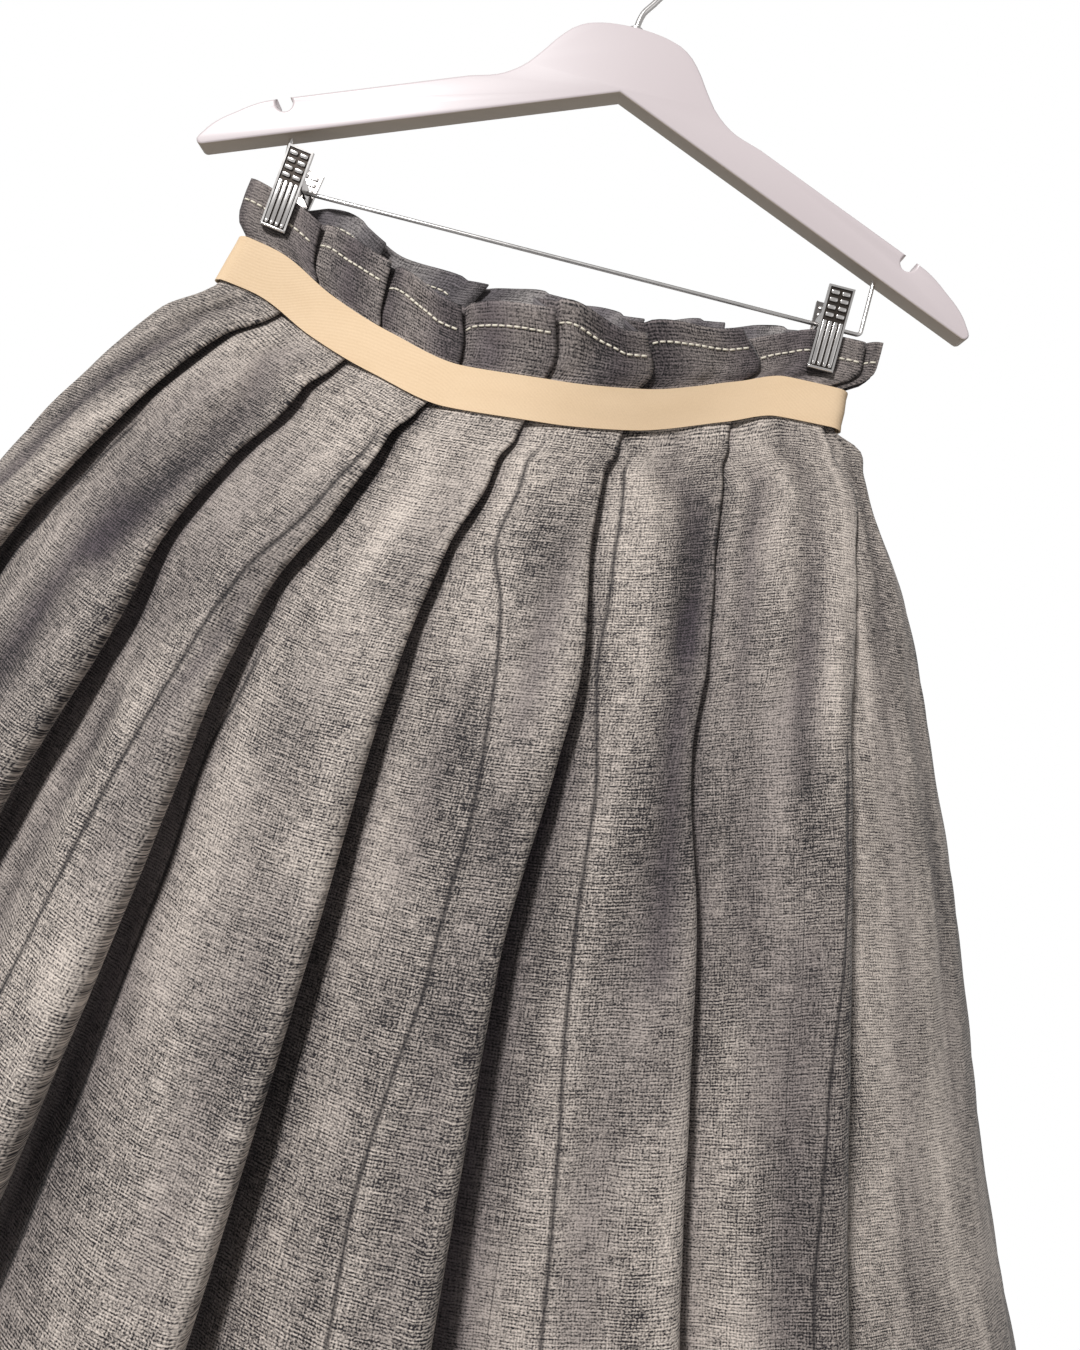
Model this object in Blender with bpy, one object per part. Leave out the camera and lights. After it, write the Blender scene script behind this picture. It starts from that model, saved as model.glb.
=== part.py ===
"""A knee-length skirt of fourteen knife pleats with a frilled top edge and a tape waistband,
hanging from the two clips of a wooden hanger.

Metres, +Z up. The skirt's front faces -Y and +X is to the right as the front is seen.
The origin is the inside top of the hook, where a rail or a wall hook carries the whole.
"""

import math
from collections import namedtuple

import bmesh
import bpy
from mathutils import Matrix, Vector

COLLECTION = "pleated_skirt_on_hanger"

# Cloth
WALL = 0.0012  # thickness of the modelled cloth
LAYER = 0.0020  # between the middles of two lapped layers
SEAM_GAP = 0.0003  # between the front and the back
WAIST_LEVEL = -0.2416  # height of the tape's top edge at the two sides
WAIST_GAP = 0.0016  # from the middle plane to the cloth where the clips pinch the waist
BULGE_END = 0.80  # share of the half width inside which the waist opens out
SEAM_STEP = 0.003  # from a side seam to the next point of a ring
TURN_SHARE = 0.30  # share of a lap in which a fold's edge turns back beneath it
EDGE_DROP = 0.0005  # from a fold's crown down to its edge
TURN_DROP = 0.0020  # from a fold's crown down to where its edge has turned back
SIDE_RISE = 0.0865  # share of its length that a side loses in height by flaring out
LEFT_DROP = 0.005  # how much lower the left end of the tape's lower edge hangs
LEFT_SHARE = 0.7  # share of the half width over which that grows
FRILL_ARCH = 0.003  # how far the frill's edge rises between two folds

# Rings of the cloth from the frilled edge down to the hem. down is measured along the cloth
# from the tape's top edge. pinch is 1 where the clips hold it flat and 0 where it hangs as an
# oval. lift is how far a fold stands out, and lap how far it lies over the next panel.
Ring = namedtuple("Ring", "down centre half_width front_depth back_depth pinch lift lap")
RINGS = (
    Ring(-0.030, -0.0047, 0.1790, 0.036, 0.014, 1.00, 0.0065, 0.012),
    Ring(-0.022, -0.0054, 0.1803, 0.0335, 0.0125, 1.00, 0.0054, 0.0135),
    Ring(-0.014, -0.0060, 0.1810, 0.031, 0.011, 1.00, 0.0044, 0.015),
    Ring(-0.007, -0.0080, 0.1778, 0.0295, 0.0095, 1.00, 0.0042, 0.0155),
    Ring(0.000, -0.0105, 0.1700, 0.028, 0.008, 1.00, 0.0040, 0.016),
    Ring(0.0125, -0.0120, 0.1722, 0.029, 0.009, 1.00, 0.0040, 0.016),
    Ring(0.025, -0.0135, 0.1745, 0.030, 0.010, 1.00, 0.0040, 0.016),
    Ring(0.033, -0.0093, 0.1852, 0.031, 0.012, 0.96, 0.0048, 0.016),
    Ring(0.048, -0.0158, 0.1957, 0.033, 0.016, 0.84, 0.0078, 0.016),
    Ring(0.075, -0.0175, 0.2105, 0.040, 0.026, 0.60, 0.0110, 0.015),
    Ring(0.115, -0.0160, 0.2300, 0.049, 0.038, 0.30, 0.0150, 0.013),
    Ring(0.165, -0.0160, 0.2500, 0.060, 0.050, 0.10, 0.0190, 0.011),
    Ring(0.225, -0.0160, 0.2710, 0.072, 0.062, 0.00, 0.0230, 0.010),
    Ring(0.295, -0.0160, 0.2950, 0.084, 0.075, 0.00, 0.0270, 0.009),
    Ring(0.375, -0.0160, 0.3190, 0.096, 0.087, 0.00, 0.0310, 0.009),
    Ring(0.460, -0.0160, 0.3470, 0.107, 0.098, 0.00, 0.0350, 0.009),
    Ring(0.545, -0.0160, 0.3800, 0.117, 0.108, 0.00, 0.0380, 0.009),
    Ring(0.630, -0.0160, 0.4100, 0.126, 0.117, 0.00, 0.0400, 0.009),
    Ring(0.705, -0.0160, 0.4350, 0.133, 0.124, 0.00, 0.0420, 0.009),
)

# Folds of each face from left to right as that face is seen. The first ten columns place a
# fold across the half width at FOLD_LEVELS, -1 and 1 being the sides. bold is its lift as a
# share of the ring's. rise_in and rise_out are the height of the frill above the tape where
# the panel that ends in this fold begins and where it ends.
Fold = namedtuple(
    "Fold", "frill band under puff yoke high_hip hip seat thigh hem bold rise_in rise_out"
)
FOLD_LEVELS = (-0.030, 0.0, 0.025, 0.033, 0.060, 0.10, 0.15, 0.20, 0.30, 0.705)
FRONT_FOLDS = (
    Fold(-0.766, -0.745, -0.80, -0.811, -0.83, -0.845, -0.86, -0.875, -0.88, -0.88, 0.90, 0.029, 0.029),
    Fold(-0.504, -0.495, -0.55, -0.566, -0.55, -0.590, -0.61, -0.590, -0.60, -0.60, 1.00, 0.030, 0.034),
    Fold(-0.252, -0.205, -0.25, -0.278, -0.27, -0.305, -0.36, -0.367, -0.35, -0.35, 1.15, 0.032, 0.028),
    Fold(0.011, 0.065, 0.05, 0.016, 0.017, -0.035, -0.06, -0.065, -0.06, -0.08, 1.10, 0.029, 0.035),
    Fold(0.277, 0.356, 0.345, 0.299, 0.29, 0.278, 0.288, 0.268, 0.225, 0.228, 1.20, 0.041, 0.030),
    Fold(0.566, 0.685, 0.675, 0.618, 0.61, 0.570, 0.543, 0.515, 0.533, 0.537, 0.70, 0.037, 0.034),
    Fold(0.955, 0.965, 0.97, 0.914, 0.965, 0.900, 0.845, 0.805, 0.775, 0.710, 0.85, 0.026, 0.028),
)
BACK_FOLDS = (
    Fold(-0.72, -0.70, -0.75, -0.765, -0.78, -0.80, -0.82, -0.83, -0.84, -0.85, 0.95, 0.028, 0.028),
    Fold(-0.46, -0.45, -0.49, -0.500, -0.52, -0.55, -0.57, -0.57, -0.58, -0.58, 1.05, 0.030, 0.032),
    Fold(-0.21, -0.17, -0.21, -0.220, -0.24, -0.28, -0.31, -0.32, -0.32, -0.33, 0.90, 0.033, 0.030),
    Fold(0.04, 0.10, 0.08, 0.065, 0.04, 0.00, -0.02, -0.03, -0.035, -0.045, 1.15, 0.031, 0.034),
    Fold(0.30, 0.37, 0.35, 0.335, 0.31, 0.28, 0.265, 0.25, 0.235, 0.225, 1.00, 0.034, 0.029),
    Fold(0.64, 0.67, 0.65, 0.630, 0.60, 0.56, 0.53, 0.52, 0.51, 0.50, 1.10, 0.030, 0.039),
    Fold(0.93, 0.965, 0.968, 0.960, 0.955, 0.90, 0.845, 0.80, 0.77, 0.71, 0.85, 0.038, 0.028),
)

# How far the waist hangs below its sides, across each face as that face is seen.
Dip = namedtuple("Dip", "across drop")
FRONT_DIP = (
    Dip(-1.00, 0.000),
    Dip(-0.88, 0.004),
    Dip(-0.68, 0.020),
    Dip(-0.44, 0.035),
    Dip(-0.18, 0.046),
    Dip(0.10, 0.042),
    Dip(0.36, 0.032),
    Dip(0.66, 0.011),
    Dip(0.82, 0.001),
    Dip(1.00, 0.000),
)
BACK_DIP = (
    Dip(-1.00, 0.000),
    Dip(-0.80, 0.001),
    Dip(-0.50, 0.010),
    Dip(-0.10, 0.016),
    Dip(0.20, 0.016),
    Dip(0.50, 0.022),
    Dip(0.75, 0.005),
    Dip(1.00, 0.000),
)

# Tape waistband
TAPE_HEIGHT = 0.025
TAPE_THICKNESS = 0.0010
TAPE_GAP = 0.0005  # from the outermost fold to the tape
TAPE_INSET = 0.0006  # from the ring of cloth at each edge to the tape's edge
TAPE_END = 0.002  # from the cloth's side to where the tape begins to turn round it
TAPE_RUN_POINTS = 41
TAPE_TURN_POINTS = 7

# Hanger
HANGER_HALF_LENGTH = 0.2215
BOARD_THICKNESS = 0.014
BOARD_EDGE = 0.0015
CREST_LEVEL = -0.0755
APEX_LEVEL = -0.1131
ARM_SLOPE = 0.393  # fall of the arms for each metre out
ARM_DEPTH = 0.0215  # upright depth of an arm
SHOULDER_OUT = 0.084  # from the middle to where the neck's curve meets the arm
TIP_CORNER = 0.003  # radius of an arm's lower corner
NOTCH_OUT = 0.1790
NOTCH_RADIUS = 0.0046
NOTCH_DEPTH = 0.0030  # from the arm's top edge down to the middle of the notch's round

# The upper round of an arm's end: how far out, and how far below the line of its top edge.
ArmEnd = namedtuple("ArmEnd", "out below")
ARM_ENDS = (
    ArmEnd(0.1900, 0.0003),
    ArmEnd(0.1970, 0.0018),
    ArmEnd(0.2040, 0.0044),
    ArmEnd(0.2090, 0.0062),
    ArmEnd(0.2130, 0.0082),
    ArmEnd(0.2165, 0.0107),
    ArmEnd(0.2190, 0.0135),
    ArmEnd(0.2207, 0.0153),
)

HOOK_WIRE = 0.0036
HOOK_INSIDE = 0.017  # inner radius of the hook
HOOK_START = math.radians(205)  # the open tip, turned from +X
HOOK_END = math.radians(-18)
HOOK_SOCKET = 0.014  # depth of the hook's shank in the board
HOOK_TURNS = 26

# Clip bar and clips
BAR_WIRE = 0.0024
BAR_LEVEL = -0.2082
BAR_LEFT = -0.1725
BAR_RIGHT = 0.1640
BAR_BEND = 0.0016
BAR_SOCKET = 0.007  # how far the bar's ends stand in the board
WIRE_CLEARANCE = 0.0003

Clip = namedtuple("Clip", "name out lean")
CLIPS = (
    Clip("clip_left", -0.1632, math.radians(8)),
    Clip("clip_right", 0.1452, math.radians(0)),
)
LEVER_WIDTH = 0.0145
LEVER_ABOVE = 0.0182  # from the bar up to a lever's top
LEVER_BELOW = 0.0275  # from the bar down to its jaw
LEVER_TOP_OUT = 0.0142  # from the bar's plane to a lever's outer face at its top
LEVER_JAW_OUT = 0.0092
JAW_INSIDE = 0.0071
JAW_HEIGHT = 0.0020
SHEET = 0.0008  # steel of the levers
LIP = 0.0014  # depth of a lever's turned-in sides
EAR_RADIUS = 0.0032
SPRING_RADIUS = 0.0030
SPRING_LENGTH = 0.0080

COLOURS = {
    "cloth": ((0.105, 0.100, 0.110), 0.85, 0.0),
    "tape": ((0.90, 0.70, 0.47), 0.80, 0.0),
    "painted_wood": ((0.86, 0.80, 0.80), 0.35, 0.0),
    "chrome": ((0.80, 0.80, 0.82), 0.12, 1.0),
}


# Numbers read between the rows of a table


def read_between(places, values, place):
    """A smooth curve through a table's rows that never overshoots them."""
    place = min(max(place, places[0]), places[-1])
    slopes = [(b - a) / (q - p) for a, b, p, q in zip(values, values[1:], places, places[1:])]
    tangents = [slopes[0]]
    for before, after in zip(slopes, slopes[1:]):
        tangents.append(0.0 if before * after <= 0 else 2 * before * after / (before + after))
    tangents.append(slopes[-1])
    i = max(n for n in range(len(places) - 1) if n == 0 or places[n] <= place)
    width = places[i + 1] - places[i]
    t = (place - places[i]) / width
    start = (2 * t**3 - 3 * t**2 + 1) * values[i] + (t**3 - 2 * t**2 + t) * width * tangents[i]
    end = (3 * t**2 - 2 * t**3) * values[i + 1] + (t**3 - t**2) * width * tangents[i + 1]
    return start + end


def ring_at(down):
    downs = [ring.down for ring in RINGS]
    columns = zip(*RINGS)
    return Ring(*(read_between(downs, values, down) for values in columns))


def dip_at(table, across):
    return read_between([dip.across for dip in table], [dip.drop for dip in table], across)


def fold_angle(fold, down):
    return math.asin(read_between(FOLD_LEVELS, fold[: len(FOLD_LEVELS)], down))


# The cloth's form. Each face is worked out as it is seen from in front of it, facing -Y,
# and the back is then turned half round. An angle runs from -90 degrees at the face's left
# side to 90 degrees at its right side.


class Face:
    def __init__(self, name, folds, other_folds, dips, is_back):
        self.name = name
        self.folds = folds
        self.other_folds = other_folds
        self.dips = dips
        self.is_back = is_back

    def base(self, ring, angle):
        """The smooth oval or pinched ring that the pleats stand on."""
        angle = min(max(angle, -math.pi / 2), math.pi / 2)
        across = math.sin(angle)
        centre = -ring.centre if self.is_back else ring.centre
        depth = ring.back_depth if self.is_back else ring.front_depth
        bulge = math.cos(math.pi / 2 * min(abs(across) / BULGE_END, 1)) ** 2
        shape = ring.pinch * bulge + (1 - ring.pinch) * math.cos(angle)
        at_seam = SEAM_GAP / 2 + WALL / 2 * ring.pinch
        from_side = ring.half_width * (1 - abs(across))
        opened = (WAIST_GAP - at_seam) * ring.pinch * (1 - math.exp(-from_side / WALL))
        return centre + ring.half_width * across, -(at_seam + opened + depth * shape)

    def outward(self, ring, angle):
        small = 0.02
        ahead = self.base(ring, min(angle + small, math.pi / 2))
        behind = self.base(ring, max(angle - small, -math.pi / 2))
        along = Vector((ahead[0] - behind[0], ahead[1] - behind[1])).normalized()
        return along.y, -along.x

    def stepped(self, ring, angle, distance):
        """The angle that lies this far along the ring, to the left where it is negative."""
        steps = 12
        small = 0.004
        for _ in range(steps):
            here = self.base(ring, angle)
            near = self.base(ring, angle + small if angle < 0 else angle - small)
            speed = math.dist(here, near) / small
            angle += distance / steps / max(speed, 0.02)
        return angle

    def fold_angles(self, down):
        """The seven fold edges, with the other face's nearest one at each end."""
        own = [fold_angle(fold, down) for fold in self.folds]
        before = fold_angle(self.other_folds[-1], down) - math.pi
        after = fold_angle(self.other_folds[0], down) + math.pi
        return [before] + own + [after]

    def fold_lifts(self, ring):
        pressed = 2 * LAYER
        folds = list(self.folds) + [self.other_folds[0]]
        return [pressed + max(ring.lift - pressed, 0) * fold.bold for fold in folds]

    def ring_points(self, down):
        """One ring's points as (angle, offset outward, height of the frill there)."""
        ring = ring_at(down)
        edges = self.fold_angles(down)
        lifts = self.fold_lifts(ring)
        enders = list(self.folds) + [self.other_folds[0]]
        seam = math.pi / 2
        near_seam = math.asin(1 - SEAM_STEP / ring.half_width)
        points = []

        def on_panel(number, angle, crown):
            start = edges[number]
            share = min(max((angle - start) / (crown - start), 0), 1)
            pressed = 1 - (1 - share) ** 3
            hanging = share * (1.4 - 0.4 * share)
            rise = ring.pinch * pressed + (1 - ring.pinch) * hanging
            arch = FRILL_ARCH * math.sin(math.pi * share**0.6)
            panel = enders[number]
            height = panel.rise_in + (panel.rise_out - panel.rise_in) * share + arch
            points.append((angle, lifts[number] * rise, height))

        def add_fold(number, crown):
            """Over the edge of a fold, back beneath it and into the next panel."""
            edge = edges[number + 1]
            lift = lifts[number]
            lap = edge - crown
            high = enders[number].rise_out
            next_high = enders[number + 1].rise_in
            points.append((crown, lift, high))
            points.append((edge, lift - EDGE_DROP, high))
            points.append((edge - TURN_SHARE * lap, lift - TURN_DROP, high))
            points.append((crown, LAYER, next_high))
            points.append((crown, 0, next_high))

        crowns = [self.stepped(ring, edge, -ring.lap) for edge in edges[1:8]]
        last_crown = edges[8] - (edges[1] - crowns[0])
        on_panel(0, -seam, crowns[0])
        on_panel(0, -near_seam, crowns[0])
        for share in (1 / 3, 2 / 3):
            on_panel(0, -near_seam + share * (crowns[0] + near_seam), crowns[0])
        add_fold(0, crowns[0])
        for number in range(1, 7):
            for share in (0, 0.35, 0.7):
                angle = edges[number] + share * (crowns[number] - edges[number])
                on_panel(number, angle, crowns[number])
            add_fold(number, crowns[number])
        on_panel(7, edges[7], last_crown)
        for share in (1 / 3, 2 / 3):
            on_panel(7, edges[7] + share * (near_seam - edges[7]), last_crown)
        on_panel(7, near_seam, last_crown)
        on_panel(7, seam, last_crown)
        return ring, points

    def level(self, ring, angle, frill):
        across = math.sin(angle)
        waist = WAIST_LEVEL - dip_at(self.dips, across)
        if ring.down < 0:
            return waist + frill * ring.down / RINGS[0].down
        to_left = across if self.is_back else -across
        share = max(to_left - 1 + LEFT_SHARE, 0) / LEFT_SHARE
        lower = LEFT_DROP * share**1.5 * min(ring.down / TAPE_HEIGHT, 1)
        return waist - ring.down * (1 - SIDE_RISE * across**2) - lower

    def wall_row(self, down):
        """The outer and the inner points of one ring."""
        ring, points = self.ring_points(down)
        middles = []
        for angle, offset, _ in points:
            x, y = self.base(ring, angle)
            out_x, out_y = self.outward(ring, angle)
            middles.append(Vector((x + out_x * offset, y + out_y * offset)))
        outer = []
        inner = []
        for i, (angle, _, frill) in enumerate(points):
            before = middles[i] - middles[max(i - 1, 0)]
            after = middles[min(i + 1, len(middles) - 1)] - middles[i]
            before = (before if before.length else after).normalized()
            after = (after if after.length else before).normalized()
            corner = Vector((before.y + after.y, -before.x - after.x)).normalized()
            mitre = 1 / max(corner.dot(Vector((before.y, -before.x))), 0.75)
            shift = corner * (WALL / 2 * mitre)
            z = self.level(ring, angle, frill)
            outer.append(self.placed(middles[i] + shift, z))
            inner.append(self.placed(middles[i] - shift, z))
        return outer, inner

    def placed(self, flat, z):
        turn = -1 if self.is_back else 1
        return Vector((turn * flat.x, turn * flat.y, z))


FRONT = Face("skirt_front", FRONT_FOLDS, BACK_FOLDS, FRONT_DIP, is_back=False)
BACK = Face("skirt_back", BACK_FOLDS, FRONT_FOLDS, BACK_DIP, is_back=True)


# Objects


def start_scene():
    for old in list(bpy.data.objects):
        bpy.data.objects.remove(old)
    parts = bpy.data.collections.new(COLLECTION)
    cutters = bpy.data.collections.new("cutters")
    bpy.context.scene.collection.children.link(parts)
    bpy.context.scene.collection.children.link(cutters)
    return parts, cutters


def make_materials():
    materials = {}
    for name, (colour, roughness, metallic) in COLOURS.items():
        material = bpy.data.materials.new(name)
        material.use_nodes = True
        surface = material.node_tree.nodes["Principled BSDF"]
        surface.inputs["Base Color"].default_value = (*colour, 1)
        surface.inputs["Roughness"].default_value = roughness
        surface.inputs["Metallic"].default_value = metallic
        materials[name] = material
    return materials


def add_object(name, data, collection, material=None):
    made = bpy.data.objects.new(name, data)
    collection.objects.link(made)
    if material:
        data.materials.clear()
        data.materials.append(material)
    return made


def mesh_from(name, bm):
    bmesh.ops.recalc_face_normals(bm, faces=bm.faces)
    mesh = bpy.data.meshes.new(name)
    bm.to_mesh(mesh)
    bm.free()
    return mesh


def mesh_of_curve(made, collection):
    """Replaces a curve object by the same shape as a closed mesh."""
    bpy.context.view_layer.update()
    evaluated = made.evaluated_get(bpy.context.evaluated_depsgraph_get())
    mesh = bpy.data.meshes.new_from_object(evaluated)
    bm = bmesh.new()
    bm.from_mesh(mesh)
    bmesh.ops.remove_doubles(bm, verts=bm.verts, dist=0.00001)
    bm.to_mesh(mesh)
    bm.free()
    solid = bpy.data.objects.new(made.name, mesh)
    solid.matrix_world = made.matrix_world
    name = made.name
    bpy.data.objects.remove(made)
    solid.name = name
    collection.objects.link(solid)
    return solid


def flat_outline(name, loops, thickness, edge, collection):
    """A board of this outline in the XZ plane, its holes as further loops, centred on Y."""
    curve = bpy.data.curves.new(name, "CURVE")
    curve.dimensions = "2D"
    curve.fill_mode = "BOTH"
    curve.extrude = thickness / 2 - edge
    curve.bevel_depth = edge
    curve.bevel_resolution = 1
    curve.offset = -edge
    for loop in loops:
        spline = curve.splines.new("POLY")
        spline.points.add(len(loop) - 1)
        for point, (x, z) in zip(spline.points, loop):
            point.co = (x, z, 0, 1)
        spline.use_cyclic_u = True
    made = bpy.data.objects.new(name, curve)
    made.rotation_euler = (math.pi / 2, 0, 0)
    collection.objects.link(made)
    return mesh_of_curve(made, collection)


def wire(name, points, diameter, collection, material):
    curve = bpy.data.curves.new(name, "CURVE")
    curve.dimensions = "3D"
    curve.bevel_depth = diameter / 2
    curve.bevel_resolution = 3
    curve.use_fill_caps = True
    spline = curve.splines.new("POLY")
    spline.points.add(len(points) - 1)
    for point, place in zip(spline.points, points):
        point.co = (*place, 1)
    made = bpy.data.objects.new(name, curve)
    collection.objects.link(made)
    solid = mesh_of_curve(made, collection)
    solid.data.materials.append(material)
    return solid


def cut(target, cutter):
    boolean = target.modifiers.new("cut", "BOOLEAN")
    boolean.operation = "DIFFERENCE"
    boolean.solver = "EXACT"
    boolean.object = cutter


def socket(name, x, top, bottom, radius, cutters):
    """An upright round cutter."""
    bm = bmesh.new()
    bmesh.ops.create_cone(
        bm, cap_ends=True, segments=12, radius1=radius, radius2=radius, depth=top - bottom
    )
    made = add_object(name, mesh_from(name, bm), cutters)
    made.location = (x, 0, (top + bottom) / 2)
    made.hide_render = True
    made.display_type = "WIRE"
    return made


# Cloth solids


def make_face(face, collection, material):
    rows = [face.wall_row(ring.down) for ring in RINGS]
    bm = bmesh.new()
    outer = [[bm.verts.new(point) for point in row[0]] for row in rows]
    inner = [[bm.verts.new(point) for point in row[1]] for row in rows]
    count = len(outer[0])
    for r in range(len(rows) - 1):
        for i in range(count - 1):
            # Both sides of the wall are split along the same diagonal, so a twist stays open.
            for side in (outer, inner):
                bm.faces.new((side[r][i], side[r + 1][i], side[r + 1][i + 1]))
                bm.faces.new((side[r][i], side[r + 1][i + 1], side[r][i + 1]))
        for i in (0, count - 1):
            bm.faces.new((outer[r][i], inner[r][i], inner[r + 1][i], outer[r + 1][i]))
    for r in (0, len(rows) - 1):
        for i in range(count - 1):
            # The rim is split from the inner side of each fold, where it can be hollow.
            bm.faces.new((outer[r][i], outer[r][i + 1], inner[r][i]))
            bm.faces.new((outer[r][i + 1], inner[r][i + 1], inner[r][i]))
    made = add_object(face.name, mesh_from(face.name, bm), collection, material)
    made.data.shade_smooth()
    return made


def tape_row(down, offset):
    """A ring round both faces, this far outside the ring that the pleats stand on."""
    ring = ring_at(down)
    run = ring.half_width - TAPE_END
    points = []
    for face in (FRONT, BACK):
        centre = -ring.centre if face.is_back else ring.centre
        for i in range(TAPE_RUN_POINTS):
            across = run / ring.half_width * (2 * i / (TAPE_RUN_POINTS - 1) - 1)
            angle = math.asin(across)
            x, y = face.base(ring, angle)
            out_x, out_y = face.outward(ring, angle)
            if abs(across) > BULGE_END:
                out_x, out_y = 0, -1
            z = face.level(ring, angle, 0)
            points.append(face.placed(Vector((x + out_x * offset, y + out_y * offset)), z))
        for i in range(1, TAPE_TURN_POINTS):
            turn = math.pi * i / TAPE_TURN_POINTS
            x = centre + run + (TAPE_END + offset) * math.sin(turn)
            y = -(WAIST_GAP + offset) * math.cos(turn)
            points.append(face.placed(Vector((x, y)), face.level(ring, math.pi / 2, 0)))
    return points


def make_tape(collection, material):
    clear = 2 * LAYER + WALL / 2 + TAPE_GAP
    sides = []
    for offset in (clear + TAPE_THICKNESS, clear):
        downs = (TAPE_INSET, TAPE_HEIGHT / 2, TAPE_HEIGHT - TAPE_INSET)
        sides.append([tape_row(down, offset) for down in downs])
    bm = bmesh.new()
    outer, inner = [[[bm.verts.new(p) for p in row] for row in side] for side in sides]
    count = len(outer[0])
    for i in range(count):
        k = (i + 1) % count
        for r in range(2):
            bm.faces.new((outer[r][i], outer[r + 1][i], outer[r + 1][k], outer[r][k]))
            bm.faces.new((inner[r][k], inner[r + 1][k], inner[r + 1][i], inner[r][i]))
        bm.faces.new((outer[0][k], inner[0][k], inner[0][i], outer[0][i]))
        bm.faces.new((outer[2][i], inner[2][i], inner[2][k], outer[2][k]))
    made = add_object("waistband", mesh_from("waistband", bm), collection, material)
    made.data.shade_smooth()
    return made


# Hanger


def arc(centre, radius, start, end, steps):
    return [
        (
            centre[0] + radius * math.cos(start + (end - start) * i / steps),
            centre[1] + radius * math.sin(start + (end - start) * i / steps),
        )
        for i in range(steps + 1)
    ]


def arm_top(out):
    return APEX_LEVEL + ARM_DEPTH - ARM_SLOPE * out


def board_outline():
    """The right half from the crest to the apex, then the same mirrored."""
    neck = (
        (0.000, CREST_LEVEL),
        (0.013, CREST_LEVEL - 0.0010),
        (0.026, CREST_LEVEL - 0.0040),
        (0.034, CREST_LEVEL - 0.0088),
        (0.041, CREST_LEVEL - 0.0165),
        (0.048, CREST_LEVEL - 0.0265),
        (0.056, CREST_LEVEL - 0.0360),
        (0.068, CREST_LEVEL - 0.0440),
        (SHOULDER_OUT, arm_top(SHOULDER_OUT)),
    )
    heading = math.atan(ARM_SLOPE)
    notch_centre = (NOTCH_OUT, arm_top(NOTCH_OUT) - NOTCH_DEPTH)
    half_mouth = math.acos(NOTCH_DEPTH * math.cos(heading) / NOTCH_RADIUS)
    notch_start = math.pi / 2 - heading + half_mouth
    notch_end = notch_start + 2 * (math.pi - half_mouth)
    notch = arc(notch_centre, NOTCH_RADIUS, notch_start, notch_end, 8)
    tip = [(end.out, arm_top(end.out) - end.below) for end in ARM_ENDS]
    corner_x = HANGER_HALF_LENGTH - TIP_CORNER
    corner_z = APEX_LEVEL - ARM_SLOPE * corner_x + TIP_CORNER / math.cos(heading)
    corner = arc((corner_x, corner_z), TIP_CORNER, 0, -math.pi / 2 - heading, 4)
    half = list(neck) + notch + tip + corner
    left = [(-x, z) for x, z in reversed(half[1:])]
    return half + [(0.0, APEX_LEVEL)] + left


def make_board(collection, cutters, material):
    board = flat_outline("hanger_body", [board_outline()], BOARD_THICKNESS, BOARD_EDGE, collection)
    board.data.materials.append(material)
    radius = HOOK_WIRE / 2 + WIRE_CLEARANCE
    cut(board, socket("hook_socket", 0, CREST_LEVEL + 0.01, CREST_LEVEL - HOOK_SOCKET, radius, cutters))
    for side, x in (("left", BAR_LEFT), ("right", BAR_RIGHT)):
        under = APEX_LEVEL - ARM_SLOPE * abs(x)
        radius = BAR_WIRE / 2 + WIRE_CLEARANCE
        cut(board, socket(f"bar_socket_{side}", x, under + BAR_SOCKET, under - 0.01, radius, cutters))
    return board


def make_hook(collection, material):
    radius = HOOK_INSIDE + HOOK_WIRE / 2
    centre = (0, -HOOK_INSIDE)
    shank = [
        (0, CREST_LEVEL - HOOK_SOCKET + WIRE_CLEARANCE),
        (0, CREST_LEVEL + 0.004),
        (0.0012, CREST_LEVEL + 0.011),
        (0.0062, CREST_LEVEL + 0.019),
        (0.0125, CREST_LEVEL + 0.030),
        (0.0165, CREST_LEVEL + 0.042),
    ]
    bow = arc(centre, radius, HOOK_END, HOOK_START, HOOK_TURNS)
    points = [(x, 0, z) for x, z in shank + bow]
    return wire("hanger_hook", points, HOOK_WIRE, collection, material)


def make_bar(collection, material):
    left_top = APEX_LEVEL - ARM_SLOPE * abs(BAR_LEFT) + BAR_SOCKET - WIRE_CLEARANCE
    right_top = APEX_LEVEL - ARM_SLOPE * abs(BAR_RIGHT) + BAR_SOCKET - WIRE_CLEARANCE
    lift = BAR_LEVEL + BAR_BEND
    left = arc((BAR_LEFT + BAR_BEND, lift), BAR_BEND, math.pi, 1.5 * math.pi, 5)
    right = arc((BAR_RIGHT - BAR_BEND, lift), BAR_BEND, 1.5 * math.pi, 2 * math.pi, 5)
    route = [(BAR_LEFT, left_top)] + left + right + [(BAR_RIGHT, right_top)]
    return wire("clip_bar", [(x, 0, z) for x, z in route], BAR_WIRE, collection, material)


# Clips. Each lever is worked out about the bar's axis, then leaned and moved to its place.


def box(bm, low, high):
    made = bmesh.ops.create_cube(bm, size=1)["verts"]
    size = [b - a for a, b in zip(low, high)]
    middle = [(a + b) / 2 for a, b in zip(low, high)]
    bmesh.ops.scale(bm, vec=size, verts=made)
    bmesh.ops.translate(bm, vec=middle, verts=made)
    return made


def lean_out(verts):
    """Slants a lever's upright blade so that its top stands further out than its jaw."""
    for vert in verts:
        share = (vert.co.z + LEVER_BELOW) / (LEVER_ABOVE + LEVER_BELOW)
        vert.co.y -= (LEVER_TOP_OUT - LEVER_JAW_OUT) * share


def join(target, other):
    boolean = target.modifiers.new("join", "BOOLEAN")
    boolean.operation = "UNION"
    boolean.solver = "EXACT"
    boolean.object = other


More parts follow.
